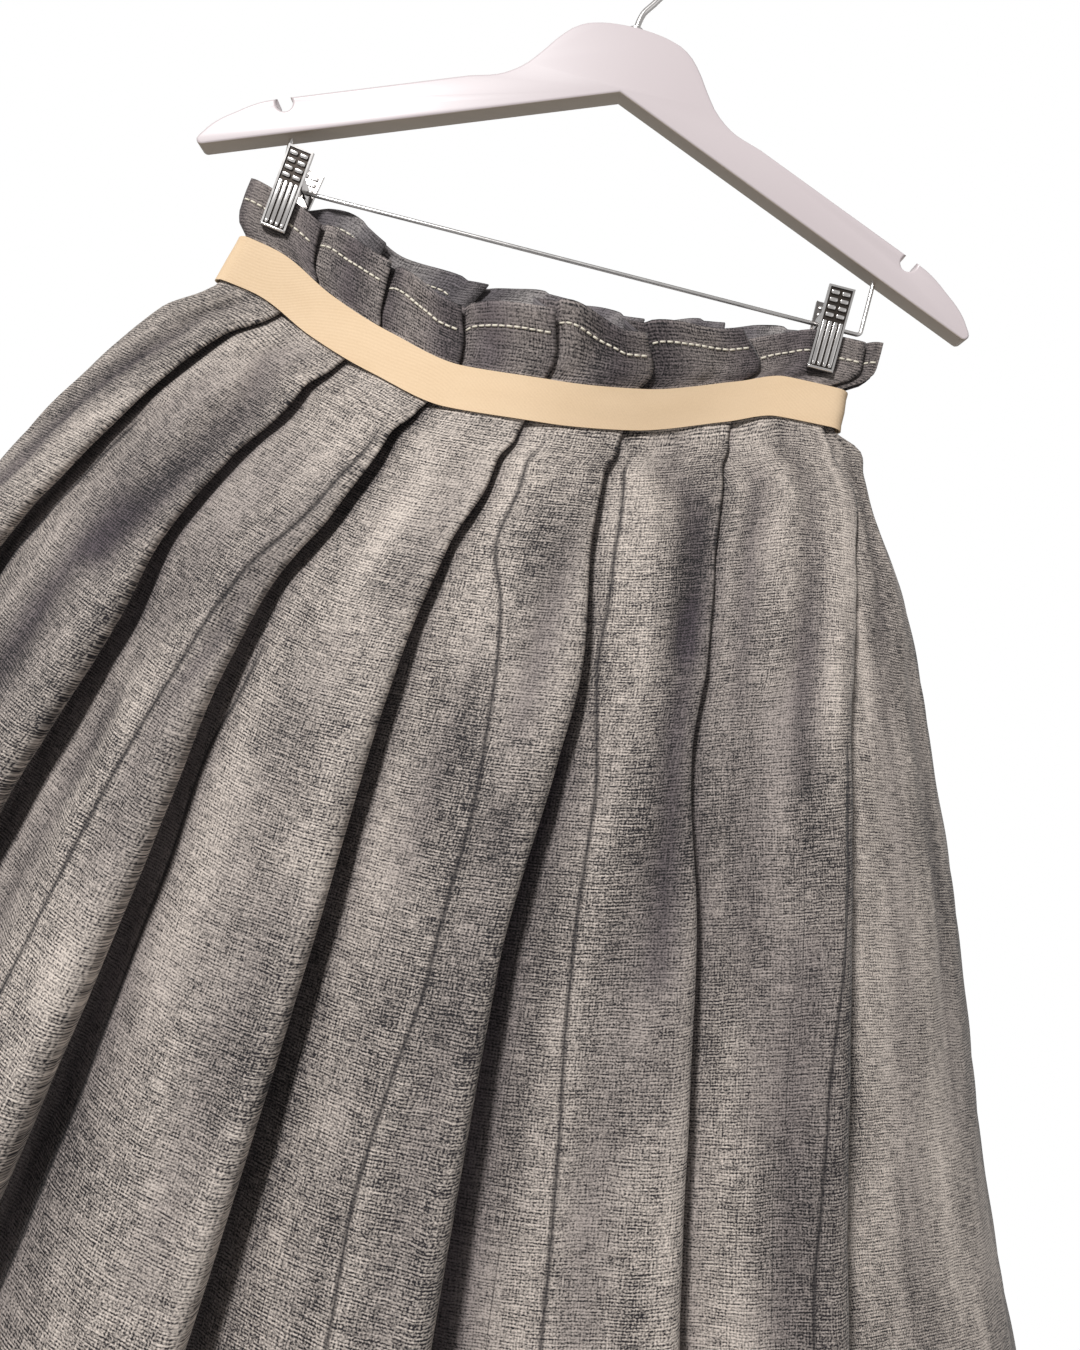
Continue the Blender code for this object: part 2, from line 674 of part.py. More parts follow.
def make_lever(clip, end, turn, ear_inside, collection, cutters, material):
    """A blade with turned-in sides, a jaw and two ears on the bar. turn is 1 at the front."""
    name = f"{clip.name}_{end}_lever"
    half = LEVER_WIDTH / 2
    out = -LEVER_JAW_OUT
    bm = bmesh.new()
    blade = box(bm, (-half, out, -LEVER_BELOW), (half, out + SHEET, LEVER_ABOVE))
    lean_out(blade)
    pieces = [("blade", bm)]
    for side in (-1, 1):
        bm = bmesh.new()
        low = min(side * half, side * (half - SHEET))
        lip = box(bm, (low, out + SHEET / 2, -LEVER_BELOW), (low + SHEET, out + LIP, LEVER_ABOVE))
        lean_out(lip)
        pieces.append(("lip", bm))
        bm = bmesh.new()
        low = min(side * ear_inside, side * (ear_inside + SHEET))
        reach = out - (LEVER_TOP_OUT - LEVER_JAW_OUT) / 2
        box(bm, (low, reach, -EAR_RADIUS), (low + SHEET, 0, EAR_RADIUS))
        pieces.append(("ear", bm))
        bm = bmesh.new()
        bmesh.ops.create_cone(
            bm, cap_ends=True, segments=16, radius1=EAR_RADIUS, radius2=EAR_RADIUS, depth=SHEET
        )
        bmesh.ops.rotate(bm, verts=bm.verts, matrix=Matrix.Rotation(math.pi / 2, 3, "Y"))
        bmesh.ops.translate(bm, verts=bm.verts, vec=(low + SHEET / 2, 0, 0))
        pieces.append(("ear_round", bm))
    bm = bmesh.new()
    box(bm, (-half, out + SHEET / 2, -LEVER_BELOW), (half, -JAW_INSIDE, -LEVER_BELOW + JAW_HEIGHT))
    pieces.append(("jaw", bm))
    bore = bmesh.new()
    radius = BAR_WIRE / 2 + WIRE_CLEARANCE
    bmesh.ops.create_cone(
        bore, cap_ends=True, segments=12, radius1=radius, radius2=radius, depth=LEVER_WIDTH + 0.01
    )
    bmesh.ops.rotate(bore, verts=bore.verts, matrix=Matrix.Rotation(math.pi / 2, 3, "Y"))

    on_bar = Matrix.Translation((clip.out, 0, BAR_LEVEL))
    facing = Matrix.Rotation(0 if turn > 0 else math.pi, 4, "Z")
    leaned = on_bar @ Matrix.Rotation(clip.lean, 4, "Y") @ facing
    lever = add_object(name, mesh_from(name, pieces[0][1]), collection, material)
    lever.matrix_world = leaned
    for number, (label, bm) in enumerate(pieces[1:]):
        part = add_object(f"{name}_{label}_{number}", mesh_from(label, bm), cutters)
        part.matrix_world = on_bar @ facing if label.startswith("ear") else leaned
        part.hide_render = True
        part.display_type = "WIRE"
        join(lever, part)
    hole = add_object(f"{name}_bore", mesh_from("bore", bore), cutters)
    hole.matrix_world = on_bar
    hole.hide_render = True
    hole.display_type = "WIRE"
    cut(lever, hole)
    return lever


def make_spring(clip, collection, material):
    """The closed coil round the bar between the levers' ears."""
    radius = BAR_WIRE / 2 + WIRE_CLEARANCE
    half = SPRING_LENGTH / 2
    corners = ((half, SPRING_RADIUS), (-half, SPRING_RADIUS), (-half, radius), (half, radius))
    bm = bmesh.new()
    steps = 20
    rings = []
    for i in range(steps):
        turn = 2 * math.pi * i / steps
        rings.append([bm.verts.new((x, r * math.cos(turn), r * math.sin(turn))) for x, r in corners])
    for i in range(steps):
        here = rings[i]
        there = rings[(i + 1) % steps]
        for k in range(4):
            bm.faces.new((here[k], here[(k + 1) % 4], there[(k + 1) % 4], there[k]))
    name = f"{clip.name}_spring"
    made = add_object(name, mesh_from(name, bm), collection, material)
    made.matrix_world = Matrix.Translation((clip.out, 0, BAR_LEVEL))
    return made


def main():
    parts, cutters = start_scene()
    materials = make_materials()
    make_face(FRONT, parts, materials["cloth"])
    make_face(BACK, parts, materials["cloth"])
    make_tape(parts, materials["tape"])
    make_board(parts, cutters, materials["painted_wood"])
    make_hook(parts, materials["chrome"])
    make_bar(parts, materials["chrome"])
    inside_sides = LEVER_WIDTH / 2 - SHEET
    nested = inside_sides - SHEET - WIRE_CLEARANCE
    for clip in CLIPS:
        make_lever(clip, "front", 1, inside_sides, parts, cutters, materials["chrome"])
        make_lever(clip, "back", -1, nested, parts, cutters, materials["chrome"])
        make_spring(clip, parts, materials["chrome"])


main()
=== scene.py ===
import math

import bmesh
import bpy
import numpy as np
from mathutils import Matrix, Vector


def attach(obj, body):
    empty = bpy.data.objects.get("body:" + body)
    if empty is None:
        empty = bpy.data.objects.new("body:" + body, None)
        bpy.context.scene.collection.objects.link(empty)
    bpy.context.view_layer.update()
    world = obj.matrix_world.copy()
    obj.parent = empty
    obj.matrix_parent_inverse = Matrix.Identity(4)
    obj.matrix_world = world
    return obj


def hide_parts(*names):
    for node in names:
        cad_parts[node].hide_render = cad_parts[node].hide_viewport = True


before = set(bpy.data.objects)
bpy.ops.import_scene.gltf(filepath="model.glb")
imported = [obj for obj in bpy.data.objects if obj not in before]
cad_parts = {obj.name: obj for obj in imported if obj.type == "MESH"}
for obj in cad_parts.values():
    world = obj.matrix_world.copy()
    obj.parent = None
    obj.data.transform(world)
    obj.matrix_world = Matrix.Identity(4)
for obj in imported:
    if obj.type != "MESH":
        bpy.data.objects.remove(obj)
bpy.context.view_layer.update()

print("frame loaded")


# Camera, turned on its side a little as the picture was taken
camera = {
    "place": (0.0375, -0.607, -0.4373),
    "roll": -14.4,
    "lens": 28.85,
}
cameraData = bpy.data.cameras.new("camera")
cameraData.lens = camera["lens"]
cameraData.sensor_width = 36
cameraData.clip_start = 0.02
cameraObject = bpy.data.objects.new("camera", cameraData)
cameraObject.location = camera["place"]
cameraObject.rotation_euler = (math.radians(90), math.radians(camera["roll"]), 0)
bpy.context.scene.collection.objects.link(cameraObject)
bpy.context.scene.camera = cameraObject


# Shader sums: a socket that can be added, multiplied and mixed
class Wired:
    def __init__(self, tree, socket=None):
        self.tree = tree
        self.socket = socket

    def node(self, kind, settings=None, values=None, out=0):
        made = self.tree.nodes.new(kind)
        for name, value in (settings or {}).items():
            if name == "stops":
                stops = made.color_ramp.elements
                while len(stops) < len(value):
                    stops.new(0.5)
                for stop, (place, colour) in zip(stops, value):
                    stop.position = place
                    stop.color = (*colour, 1)
            else:
                setattr(made, name, value)
        for name, value in (values or {}).items():
            if isinstance(value, Wired):
                self.tree.links.new(value.socket, made.inputs[name])
            else:
                made.inputs[name].default_value = value
        return Wired(self.tree, made.outputs[out])

    def sum(self, operation, first, second=0.0):
        return self.node("ShaderNodeMath", {"operation": operation}, {0: first, 1: second})

    def __add__(self, other):
        return self.sum("ADD", self, other)

    def __radd__(self, other):
        return self.sum("ADD", other, self)

    def __sub__(self, other):
        return self.sum("SUBTRACT", self, other)

    def __rsub__(self, other):
        return self.sum("SUBTRACT", other, self)

    def __mul__(self, other):
        return self.sum("MULTIPLY", self, other)

    def __rmul__(self, other):
        return self.sum("MULTIPLY", other, self)

    def __truediv__(self, other):
        return self.sum("DIVIDE", self, other)

    def clamped(self, low=0.0, high=1.0):
        return self.node("ShaderNodeClamp", {}, {0: self, 1: low, 2: high})

    def tint(self, first, second, blend="MIX"):
        # from one colour to the other as this goes from 0 to 1
        settings = {"data_type": "RGBA", "blend_type": blend}
        return self.node("ShaderNodeMix", settings, {0: self, 6: first, 7: second}, out=2)

    def mark(self, name):
        # a value kept on the mesh's points
        return self.node("ShaderNodeAttribute", {"attribute_name": name}, out=2)

    def objectPlace(self):
        return self.node("ShaderNodeTexCoord", out=3)

    def other(self, name):
        # another output of the same node
        return Wired(self.tree, self.socket.node.outputs[name])

    def noise(self, vector, scale, detail=2.0, rough=0.5):
        moved = self.node("ShaderNodeMapping", {}, {"Vector": vector, "Scale": scale})
        values = {"Vector": moved, "Scale": 1.0, "Detail": detail, "Roughness": rough}
        return self.node("ShaderNodeTexNoise", {}, values)


def newMaterial(name, roughness, metallic=0.0):
    material = bpy.data.materials.new(name)
    material.use_nodes = True
    shader = material.node_tree.nodes["Principled BSDF"]
    shader.inputs["Roughness"].default_value = roughness
    shader.inputs["Metallic"].default_value = metallic
    return material, shader, Wired(material.node_tree)


def feed(wired, shader, name):
    wired.tree.links.new(wired.socket, shader.inputs[name])


def bumped(start, shader, height, distance, strength=1.0):
    values = {"Strength": strength, "Distance": distance, "Height": height}
    feed(start.node("ShaderNodeBump", {}, values), shader, "Normal")


# Cloth: black and off-white yarns, a little slubby
weave = {
    "darkYarn": (0.010, 0.008, 0.011, 1),
    "lightYarn": (0.80, 0.700, 0.620, 1),
    "insideDark": (0.090, 0.082, 0.080, 1),
    "insideLight": (0.740, 0.690, 0.640, 1),
    # colour of the painted shade
    "paintedShadeTint": (0.16, 0.145, 0.185, 1),
    "yarnPitch": 0.00090,
    "ribPitch": 0.00150,
    "slubLength": 0.011,
    "pressWidth": 0.0015,
}


def clothMaterial(name, dark, light, middle):
    material, shader, start = newMaterial(name, 0.78)
    shader.inputs["Sheen Weight"].default_value = 0.10
    shader.inputs["Sheen Roughness"].default_value = 0.5
    shader.inputs["Specular IOR Level"].default_value = 0.35
    cut = start.node("ShaderNodeUVMap", {"uv_map": "cut"})
    pitch = 1 / weave["yarnPitch"]
    slub = 1 / weave["slubLength"]
    weft = start.noise(cut, (slub, pitch, 1), 3.0, 0.6)
    warp = start.noise(cut, (pitch * 1.15, slub * 1.4, 1), 3.0, 0.6)
    grain = start.noise(cut, (pitch * 1.1, pitch * 1.1, 1), 1.0, 0.4)
    across = start.node("ShaderNodeSeparateXYZ", {}, {0: cut})
    down = across.other(1)
    turns = 2 * math.pi / weave["ribPitch"]
    stray = start.noise(cut, (70, 45, 1), 1.0, 0.4)
    rib = start.sum("SINE", (down + 0.0022 * stray) * turns)
    cord = start.sum("SINE", (across + 0.0020 * stray) * (turns * 1.3))
    patch = start.noise(cut, (22, 13, 1), 2.0, 0.5)
    broad = start.noise(cut, (6, 3, 1), 1.0, 0.5)
    slubs = ((weft - 0.64) * 9).clamped() * 0.30 + ((warp - 0.66) * 9).clamped() * 0.18
    streak = start.noise(cut, (60, 5, 1), 2.0, 0.6)
    shade = middle + 1.55 * (weft - 0.5) + 1.2 * (warp - 0.5) + 1.9 * (grain - 0.5)
    shade = shade + 0.20 * rib + 0.07 * cord + slubs + 0.75 * (streak - 0.5)
    shade = (shade + 0.75 * (patch - 0.5) + 0.50 * (broad - 0.5)).clamped()
    # painted shade along the pressed lines: their creases are darkened in the colour, and also bumped
    # in
    near = 1 - (start.sum("ABSOLUTE", start.mark("pressed")) / weave["pressWidth"]).clamped()
    near = near * start.mark("pressedness")
    colour = (shade * (1 - 0.85 * near)).tint(dark, light)
    # painted shade: the colour is darkened where the mesh is marked, in troughs, beneath folds and on
    # the frill
    tinted = start.mark("trough").clamped().tint(colour, weave["paintedShadeTint"], "MULTIPLY")
    feed(tinted, shader, "Base Color")
    feed(0.70 + 0.16 * weft, shader, "Roughness")
    height = weft * 0.6 + warp * 0.5 + rib * 0.14 - near * 2.4
    bumped(start, shader, height, 0.00026, 0.9)
    return material


clothOutside = clothMaterial("cloth", weave["darkYarn"], weave["lightYarn"], 0.42)
clothInside = clothMaterial("cloth_inside", weave["insideDark"], weave["insideLight"], 0.50)


# Tape: cream, with fine slanting ribs
tapeLook = {"light": (0.93, 0.705, 0.475, 1), "dark": (0.76, 0.545, 0.335, 1), "rib": 0.0014}


def tapeMaterial():
    material, shader, start = newMaterial("tape", 0.82)
    shader.inputs["Specular IOR Level"].default_value = 0.25
    cut = start.node("ShaderNodeUVMap", {"uv_map": "cut"})
    across = start.node("ShaderNodeSeparateXYZ", {}, {0: cut})
    down = across.other(1)
    turns = 2 * math.pi / tapeLook["rib"]
    rib = 0.5 + 0.5 * start.sum("SINE", (across + 1.6 * down) * turns)
    yarn = start.noise(cut, (900, 900, 1), 2.0)
    soft = start.noise(cut, (25, 60, 1), 2.0)
    shade = (0.05 + 0.75 * rib + 0.6 * (yarn - 0.5) + 0.6 * (soft - 0.5)).clamped()
    feed(shade.tint(tapeLook["light"], tapeLook["dark"]), shader, "Base Color")
    bumped(start, shader, rib * 0.8 + yarn * 0.5, 0.00012, 0.6)
    return material


def threadMaterial():
    material, shader, start = newMaterial("thread", 0.70)
    place = start.objectPlace()
    twist = start.noise(place, (1500, 1500, 1500), 2.0)
    feed(twist.tint((0.84, 0.76, 0.60, 1), (0.93, 0.88, 0.76, 1)), shader, "Base Color")
    return material


# Paint: white over wood
paint = {"darker": (0.66, 0.575, 0.585, 1), "lighter": (0.72, 0.64, 0.65, 1),
         "paintedShadeUnderneath": (0.60, 0.50, 0.40, 1)}


def paintMaterial():
    # a little warmer and darker underneath: painted shade and warm bounced light on the faces that look
    # down
    material, shader, start = newMaterial("painted_wood", 0.36)
    shader.inputs["Coat Weight"].default_value = 0.15
    shader.inputs["Coat Roughness"].default_value = 0.2
    place = start.objectPlace()
    grain = start.noise(place, (6, 30, 120), 3.0)
    cloud = start.noise(place, (9, 9, 9), 2.0)
    coat = (0.5 + 0.7 * (cloud - 0.5)).clamped().tint(paint["darker"], paint["lighter"])
    facing = start.node("ShaderNodeNewGeometry", out=1)
    upright = start.node("ShaderNodeSeparateXYZ", {}, {0: facing}, out=2)
    # painted shade on the faces that look down
    paintedShadeBelow = ((-1 * upright - 0.55) * 5).clamped()
    feed(paintedShadeBelow.tint(coat, paint["paintedShadeUnderneath"]), shader, "Base Color")
    feed(0.30 + 0.16 * cloud, shader, "Roughness")
    bumped(start, shader, grain, 0.00008, 0.35)
    return material


def chromeMaterial(name, colour, roughness):
    material, shader, start = newMaterial(name, roughness, 1.0)
    place = start.objectPlace()
    wear = start.noise(place, (260, 260, 260), 3.0)
    broad = start.noise(place, (60, 60, 60), 2.0)
    dull = tuple(0.82 * part for part in colour)
    feed(broad.tint((*dull, 1), (*colour, 1)), shader, "Base Color")
    feed(roughness + 0.14 * wear, shader, "Roughness")
    bumped(start, shader, wear, 0.00003, 0.3)
    return material


tape = tapeMaterial()
thread = threadMaterial()
paintedWood = paintMaterial()
chrome = chromeMaterial("chrome", (0.84, 0.81, 0.79), 0.16)
# darker copies of the chrome: painted shade on the clips' sides and levers, and in the plates' recesses
chromeShadedSide = chromeMaterial("chrome_shaded_side", (0.27, 0.25, 0.24), 0.24)
chromeShadedRecess = chromeMaterial("chrome_shaded_recess", (0.055, 0.046, 0.040), 0.42)
print("materials made")


def clamp(value, low=0, high=1):
    return min(max(value, low), high)


# Numbers read between the rows of a table, smoothly and without overshooting
def readBetween(places, values, place):
    place = clamp(place, places[0], places[-1])
    slopes = [(b - a) / (q - p) for a, b, p, q in zip(values, values[1:], places, places[1:])]
    leans = [slopes[0]]
    for before, after in zip(slopes, slopes[1:]):
        leans.append(0.0 if before * after <= 0 else 2 * before * after / (before + after))
    leans.append(slopes[-1])
    i = max(n for n in range(len(places) - 1) if n == 0 or places[n] <= place)
    width = places[i + 1] - places[i]
    t = (place - places[i]) / width
    start = (2 * t**3 - 3 * t**2 + 1) * values[i] + (t**3 - 2 * t**2 + t) * width * leans[i]
    end = (3 * t**2 - 2 * t**3) * values[i + 1] + (t**3 - t**2) * width * leans[i + 1]
    return start + end


# The skirt. Each ring: down the cloth, centre, half width, front and back depth,
# how flat the clips pinch it, how far folds stand out, and how far they lap.
skirt = {
    "wall": 0.0012,  # of the solid form
    "cloth": 0.0007,
    "layer": 0.0020,
    "seamGap": 0.0003,
    "waistLevel": -0.2416,
    "waistGap": 0.0016,
    "bulgeEnd": 0.80,
    "sideRise": 0.0865,
    "leftDrop": 0.005,
    "leftShare": 0.7,
    "frillArch": 0.003,
    "frill": 0.030,  # from the top of the tape up to the frill's edge
    "fineTo": 0.060,  # rows lie closer down to here
    "length": 0.705,
    "tapeReach": 0.027,  # cloth is smooth beneath the tape
    "rings": [
        (-0.030, -0.0047, 0.1790, 0.036, 0.014, 1.00, 0.0065, 0.012),
        (-0.022, -0.0054, 0.1803, 0.0335, 0.0125, 1.00, 0.0054, 0.0135),
        (-0.014, -0.0060, 0.1810, 0.031, 0.011, 1.00, 0.0044, 0.015),
        (-0.007, -0.0080, 0.1778, 0.0295, 0.0095, 1.00, 0.0042, 0.0155),
        (0.000, -0.0105, 0.1700, 0.028, 0.008, 1.00, 0.0040, 0.016),
        (0.0125, -0.0120, 0.1722, 0.029, 0.009, 1.00, 0.0040, 0.016),
        (0.025, -0.0135, 0.1745, 0.030, 0.010, 1.00, 0.0040, 0.016),
        (0.033, -0.0093, 0.1852, 0.031, 0.012, 0.96, 0.0048, 0.016),
        (0.048, -0.0158, 0.1957, 0.033, 0.016, 0.84, 0.0078, 0.016),
        (0.075, -0.0175, 0.2105, 0.040, 0.026, 0.60, 0.0110, 0.015),
        (0.115, -0.0160, 0.2300, 0.049, 0.038, 0.30, 0.0150, 0.013),
        (0.165, -0.0160, 0.2500, 0.060, 0.050, 0.10, 0.0190, 0.011),
        (0.225, -0.0160, 0.2710, 0.072, 0.062, 0.00, 0.0230, 0.010),
        (0.295, -0.0160, 0.2950, 0.084, 0.075, 0.00, 0.0270, 0.009),
        (0.375, -0.0160, 0.3190, 0.096, 0.087, 0.00, 0.0310, 0.009),
        (0.460, -0.0160, 0.3470, 0.107, 0.098, 0.00, 0.0350, 0.009),
        (0.545, -0.0160, 0.3800, 0.117, 0.108, 0.00, 0.0380, 0.009),
        (0.630, -0.0160, 0.4100, 0.126, 0.117, 0.00, 0.0400, 0.009),
        (0.705, -0.0160, 0.4350, 0.133, 0.124, 0.00, 0.0420, 0.009),
    ],
    "foldLevels": (-0.030, 0.0, 0.025, 0.033, 0.060, 0.10, 0.15, 0.20, 0.30, 0.705),
    # each fold: its ten places across, how bold it is, and the frill's rise into and out of it
    "frontFolds": [
        (-0.766, -0.745, -0.80, -0.811, -0.83, -0.845, -0.86, -0.875, -0.88, -0.88, 0.90, 0.029, 0.029),
        (-0.504, -0.495, -0.55, -0.566, -0.55, -0.590, -0.61, -0.590, -0.60, -0.60, 1.00, 0.030, 0.034),
        (-0.252, -0.205, -0.25, -0.278, -0.27, -0.305, -0.36, -0.367, -0.35, -0.35, 1.15, 0.032, 0.028),
        (0.011, 0.065, 0.05, 0.016, 0.017, -0.035, -0.06, -0.065, -0.06, -0.08, 1.10, 0.029, 0.035),
        (0.277, 0.356, 0.345, 0.299, 0.29, 0.278, 0.288, 0.268, 0.225, 0.228, 1.20, 0.041, 0.030),
        (0.566, 0.685, 0.675, 0.618, 0.61, 0.570, 0.543, 0.515, 0.533, 0.537, 0.70, 0.037, 0.034),
        (0.955, 0.965, 0.97, 0.914, 0.965, 0.900, 0.845, 0.805, 0.775, 0.710, 0.85, 0.026, 0.028),
    ],
    "backFolds": [
        (-0.72, -0.70, -0.75, -0.765, -0.78, -0.80, -0.82, -0.83, -0.84, -0.85, 0.95, 0.028, 0.028),
        (-0.46, -0.45, -0.49, -0.500, -0.52, -0.55, -0.57, -0.57, -0.58, -0.58, 1.05, 0.030, 0.032),
        (-0.21, -0.17, -0.21, -0.220, -0.24, -0.28, -0.31, -0.32, -0.32, -0.33, 0.90, 0.033, 0.030),
        (0.04, 0.10, 0.08, 0.065, 0.04, 0.00, -0.02, -0.03, -0.035, -0.045, 1.15, 0.031, 0.034),
        (0.30, 0.37, 0.35, 0.335, 0.31, 0.28, 0.265, 0.25, 0.235, 0.225, 1.00, 0.034, 0.029),
        (0.64, 0.67, 0.65, 0.630, 0.60, 0.56, 0.53, 0.52, 0.51, 0.50, 1.10, 0.030, 0.039),
        (0.93, 0.965, 0.968, 0.960, 0.955, 0.90, 0.845, 0.80, 0.77, 0.71, 0.85, 0.038, 0.028),
    ],
    "frontDip": [(-1, 0), (-0.88, 0.004), (-0.68, 0.020), (-0.44, 0.035), (-0.18, 0.046),
                 (0.10, 0.042), (0.36, 0.032), (0.66, 0.011), (0.82, 0.001), (1, 0)],
    "backDip": [(-1, 0), (-0.80, 0.001), (-0.50, 0.010), (-0.10, 0.016), (0.20, 0.016),
                (0.50, 0.022), (0.75, 0.005), (1, 0)],
    "panelSteps": 15,
    "rowsAbove": 32,
    "rowsBelow": 165,
    # a fold's path past its crown: along the lap, mm below the crown where it is pressed,
    # and share of its lift below the crown where it hangs in a roll
    "turn": [(0.35, 0.05, 0.012), (0.70, 0.20, 0.060), (0.92, 0.42, 0.150),
             (1.00, 0.95, 0.270), (0.95, 1.60, 0.400), (0.78, 2.00, 0.540)],
}

# Soft troughs and ridges on the front's panels: panel, path as mm down and hundredths
# across the panel, half width and depth in tenths of a mm. Depth is negative for a ridge.
frontCreases = [
    (0, [(40, 80), (62, 84), (88, 80), (120, 78)], 80, 34),
    (0, [(135, 80), (160, 83), (190, 80), (240, 76)], 90, 32),
    (0, [(30, 62), (70, 64), (130, 62), (200, 62)], 90, -22),
    (1, [(60, 34), (90, 30), (106, 14), (170, 9), (230, 6)], 40, 32),
    (1, [(60, 20), (120, 3), (200, 1)], 60, -30),
    (1, [(42, 56), (82, 80), (118, 80), (146, 78), (175, 72)], 130, 62),
    (1, [(45, 25), (80, 46), (130, 50), (200, 42)], 120, -30),
    (1, [(150, 55), (200, 57), (246, 62), (330, 60)], 110, 42),
    (2, [(34, 3), (70, 10), (114, 12), (145, 16)], 30, 16),
    (2, [(40, 95), (80, 93), (120, 94)], 50, -10),
    (2, [(78, 84), (120, 82), (170, 74), (222, 46), (300, 50)], 60, -34),
    (2, [(100, 92), (150, 90), (186, 88), (226, 72), (300, 70)], 45, 28),
    (2, [(80, 45), (130, 42), (190, 34), (270, 30)], 130, 22),
    (2, [(240, 22), (300, 26), (420, 24)], 110, 44),
    (3, [(70, 32), (100, 29), (130, 29), (160, 26)], 40, 12),
    (3, [(60, 76), (95, 82), (130, 80)], 100, 22),
    (3, [(160, 55), (230, 52), (330, 48)], 140, 24),
    (3, [(280, 80), (360, 74), (450, 76)], 120, 36),
    (4, [(90, 84), (102, 83), (114, 80), (142, 76), (180, 74)], 70, 30),
    (4, [(150, 40), (168, 40), (200, 38), (260, 36)], 80, 26),
    (4, [(230, 82), (330, 80), (450, 78)], 100, 40),
    (5, [(30, 46), (45, 52), (74, 80), (110, 84), (140, 80)], 100, 46),
    (5, [(130, 82), (170, 84), (214, 86), (300, 80)], 80, 44),
    (5, [(60, 36), (140, 42), (260, 50)], 100, -16),
    (5, [(250, 62), (350, 60), (460, 62)], 120, 34),
    (6, [(40, 52), (70, 55), (106, 62), (138, 62), (215, 68)], 90, 40),
    (6, [(60, 20), (118, 22), (130, 22), (170, 25)], 55, 26),
    (6, [(60, 80), (120, 84), (180, 86)], 50, -16),
    (6, [(180, 42), (260, 38), (380, 40)], 110, 30),
    (6, [(300, 68), (400, 64), (500, 62)], 120, 30),
    (7, [(50, 16), (85, 20), (140, 16)], 60, 26),
    (7, [(160, 34), (240, 36), (400, 34)], 110, 32),
    # the frill
    (0, [(-30, 70), (-16, 72), (-2, 74)], 70, 16),
    (1, [(-30, 30), (-15, 42), (-2, 44)], 70, 24),
    (2, [(-26, 30), (-12, 38), (-1, 30)], 60, 22),
    (2, [(-22, 72), (-10, 66), (-1, 70)], 50, -10),
    (3, [(-20, 20), (-10, 34), (-1, 50)], 50, 18),
    (4, [(-30, 56), (-16, 40), (-1, 22)], 80, 34),
    (4, [(-30, 16), (-18, 18), (-6, 12)], 50, -12),
    (5, [(-24, 50), (-12, 60), (-1, 56)], 60, 18),
    (6, [(-28, 62), (-14, 52), (-1, 50)], 70, 24),
    (6, [(-24, 28), (-12, 24), (-1, 30)], 50, 14),
]

# Similar ones on the back, as the back is seen
backCreases = [
    (0, [(40, 76), (80, 80), (150, 78)], 90, 32),
    (0, [(180, 70), (260, 66), (380, 68)], 110, 34),
    (1, [(50, 60), (90, 70), (150, 74), (210, 70)], 120, 50),
    (1, [(60, 28), (120, 26), (240, 22)], 80, -26),
    (1, [(230, 44), (320, 46), (430, 44)], 110, 36),
    (2, [(60, 82), (120, 80), (200, 66), (300, 58)], 60, -30),
    (2, [(70, 40), (150, 38), (260, 34)], 120, 28),
    (2, [(300, 78), (400, 74), (520, 72)], 120, 36),
    (3, [(50, 50), (90, 60), (160, 64)], 100, 38),
    (3, [(190, 30), (300, 26), (420, 28)], 120, 32),
    (4, [(60, 74), (110, 80), (190, 80)], 90, 40),
    (4, [(210, 52), (320, 54), (470, 50)], 130, 34),
    (5, [(45, 36), (100, 42), (200, 44)], 100, 34),
    (5, [(240, 74), (350, 76), (480, 72)], 110, 36),
    (6, [(50, 60), (110, 64), (200, 70)], 90, 36),
    (6, [(230, 34), (330, 36), (450, 34)], 110, 30),
    (7, [(60, 18), (120, 20), (220, 24)], 70, 28),
    (1, [(-30, 44), (-14, 52), (-1, 50)], 70, 22),
    (3, [(-26, 36), (-12, 30), (-1, 36)], 60, 20),
    (4, [(-30, 64), (-14, 56), (-1, 60)], 70, 24),
    (6, [(-28, 40), (-14, 46), (-1, 42)], 60, 18),
]

# Lines left by the iron: panel, path as mm down and hundredths across the panel
frontPressed = [
    (4, [(28, 27), (70, 29), (90, 31), (126, 47), (174, 56), (234, 64),
         (298, 65), (350, 58), (402, 54), (462, 57), (700, 57)]),
    (5, [(28, 14), (78, 21), (118, 19), (146, 15), (218, 34), (322, 38),
         (382, 42), (460, 44), (700, 44)]),
    (2, [(40, 92), (110, 88), (160, 80), (200, 71), (240, 64), (300, 60),
         (700, 55)]),
    (3, [(170, 12), (202, 11), (238, 4), (300, 6), (420, 10), (700, 12)]),
    (6, [(190, 95), (258, 93), (310, 90), (354, 84), (406, 80), (454, 76),
         (700, 72)]),
    (1, [(100, 10), (170, 6), (222, 2), (300, 5), (700, 8)]),
]
backPressed = [
    (2, [(30, 30), (120, 40), (300, 58), (700, 56)]),
    (4, [(30, 22), (150, 30), (320, 42), (700, 44)]),
    (5, [(60, 86), (180, 80), (360, 70), (700, 66)]),
]


def inMetres(table):
    return [(panel, [(down / 1000, across / 100) for down, across in path],
             *(size / 10000 for size in sizes)) for panel, path, *sizes in table]


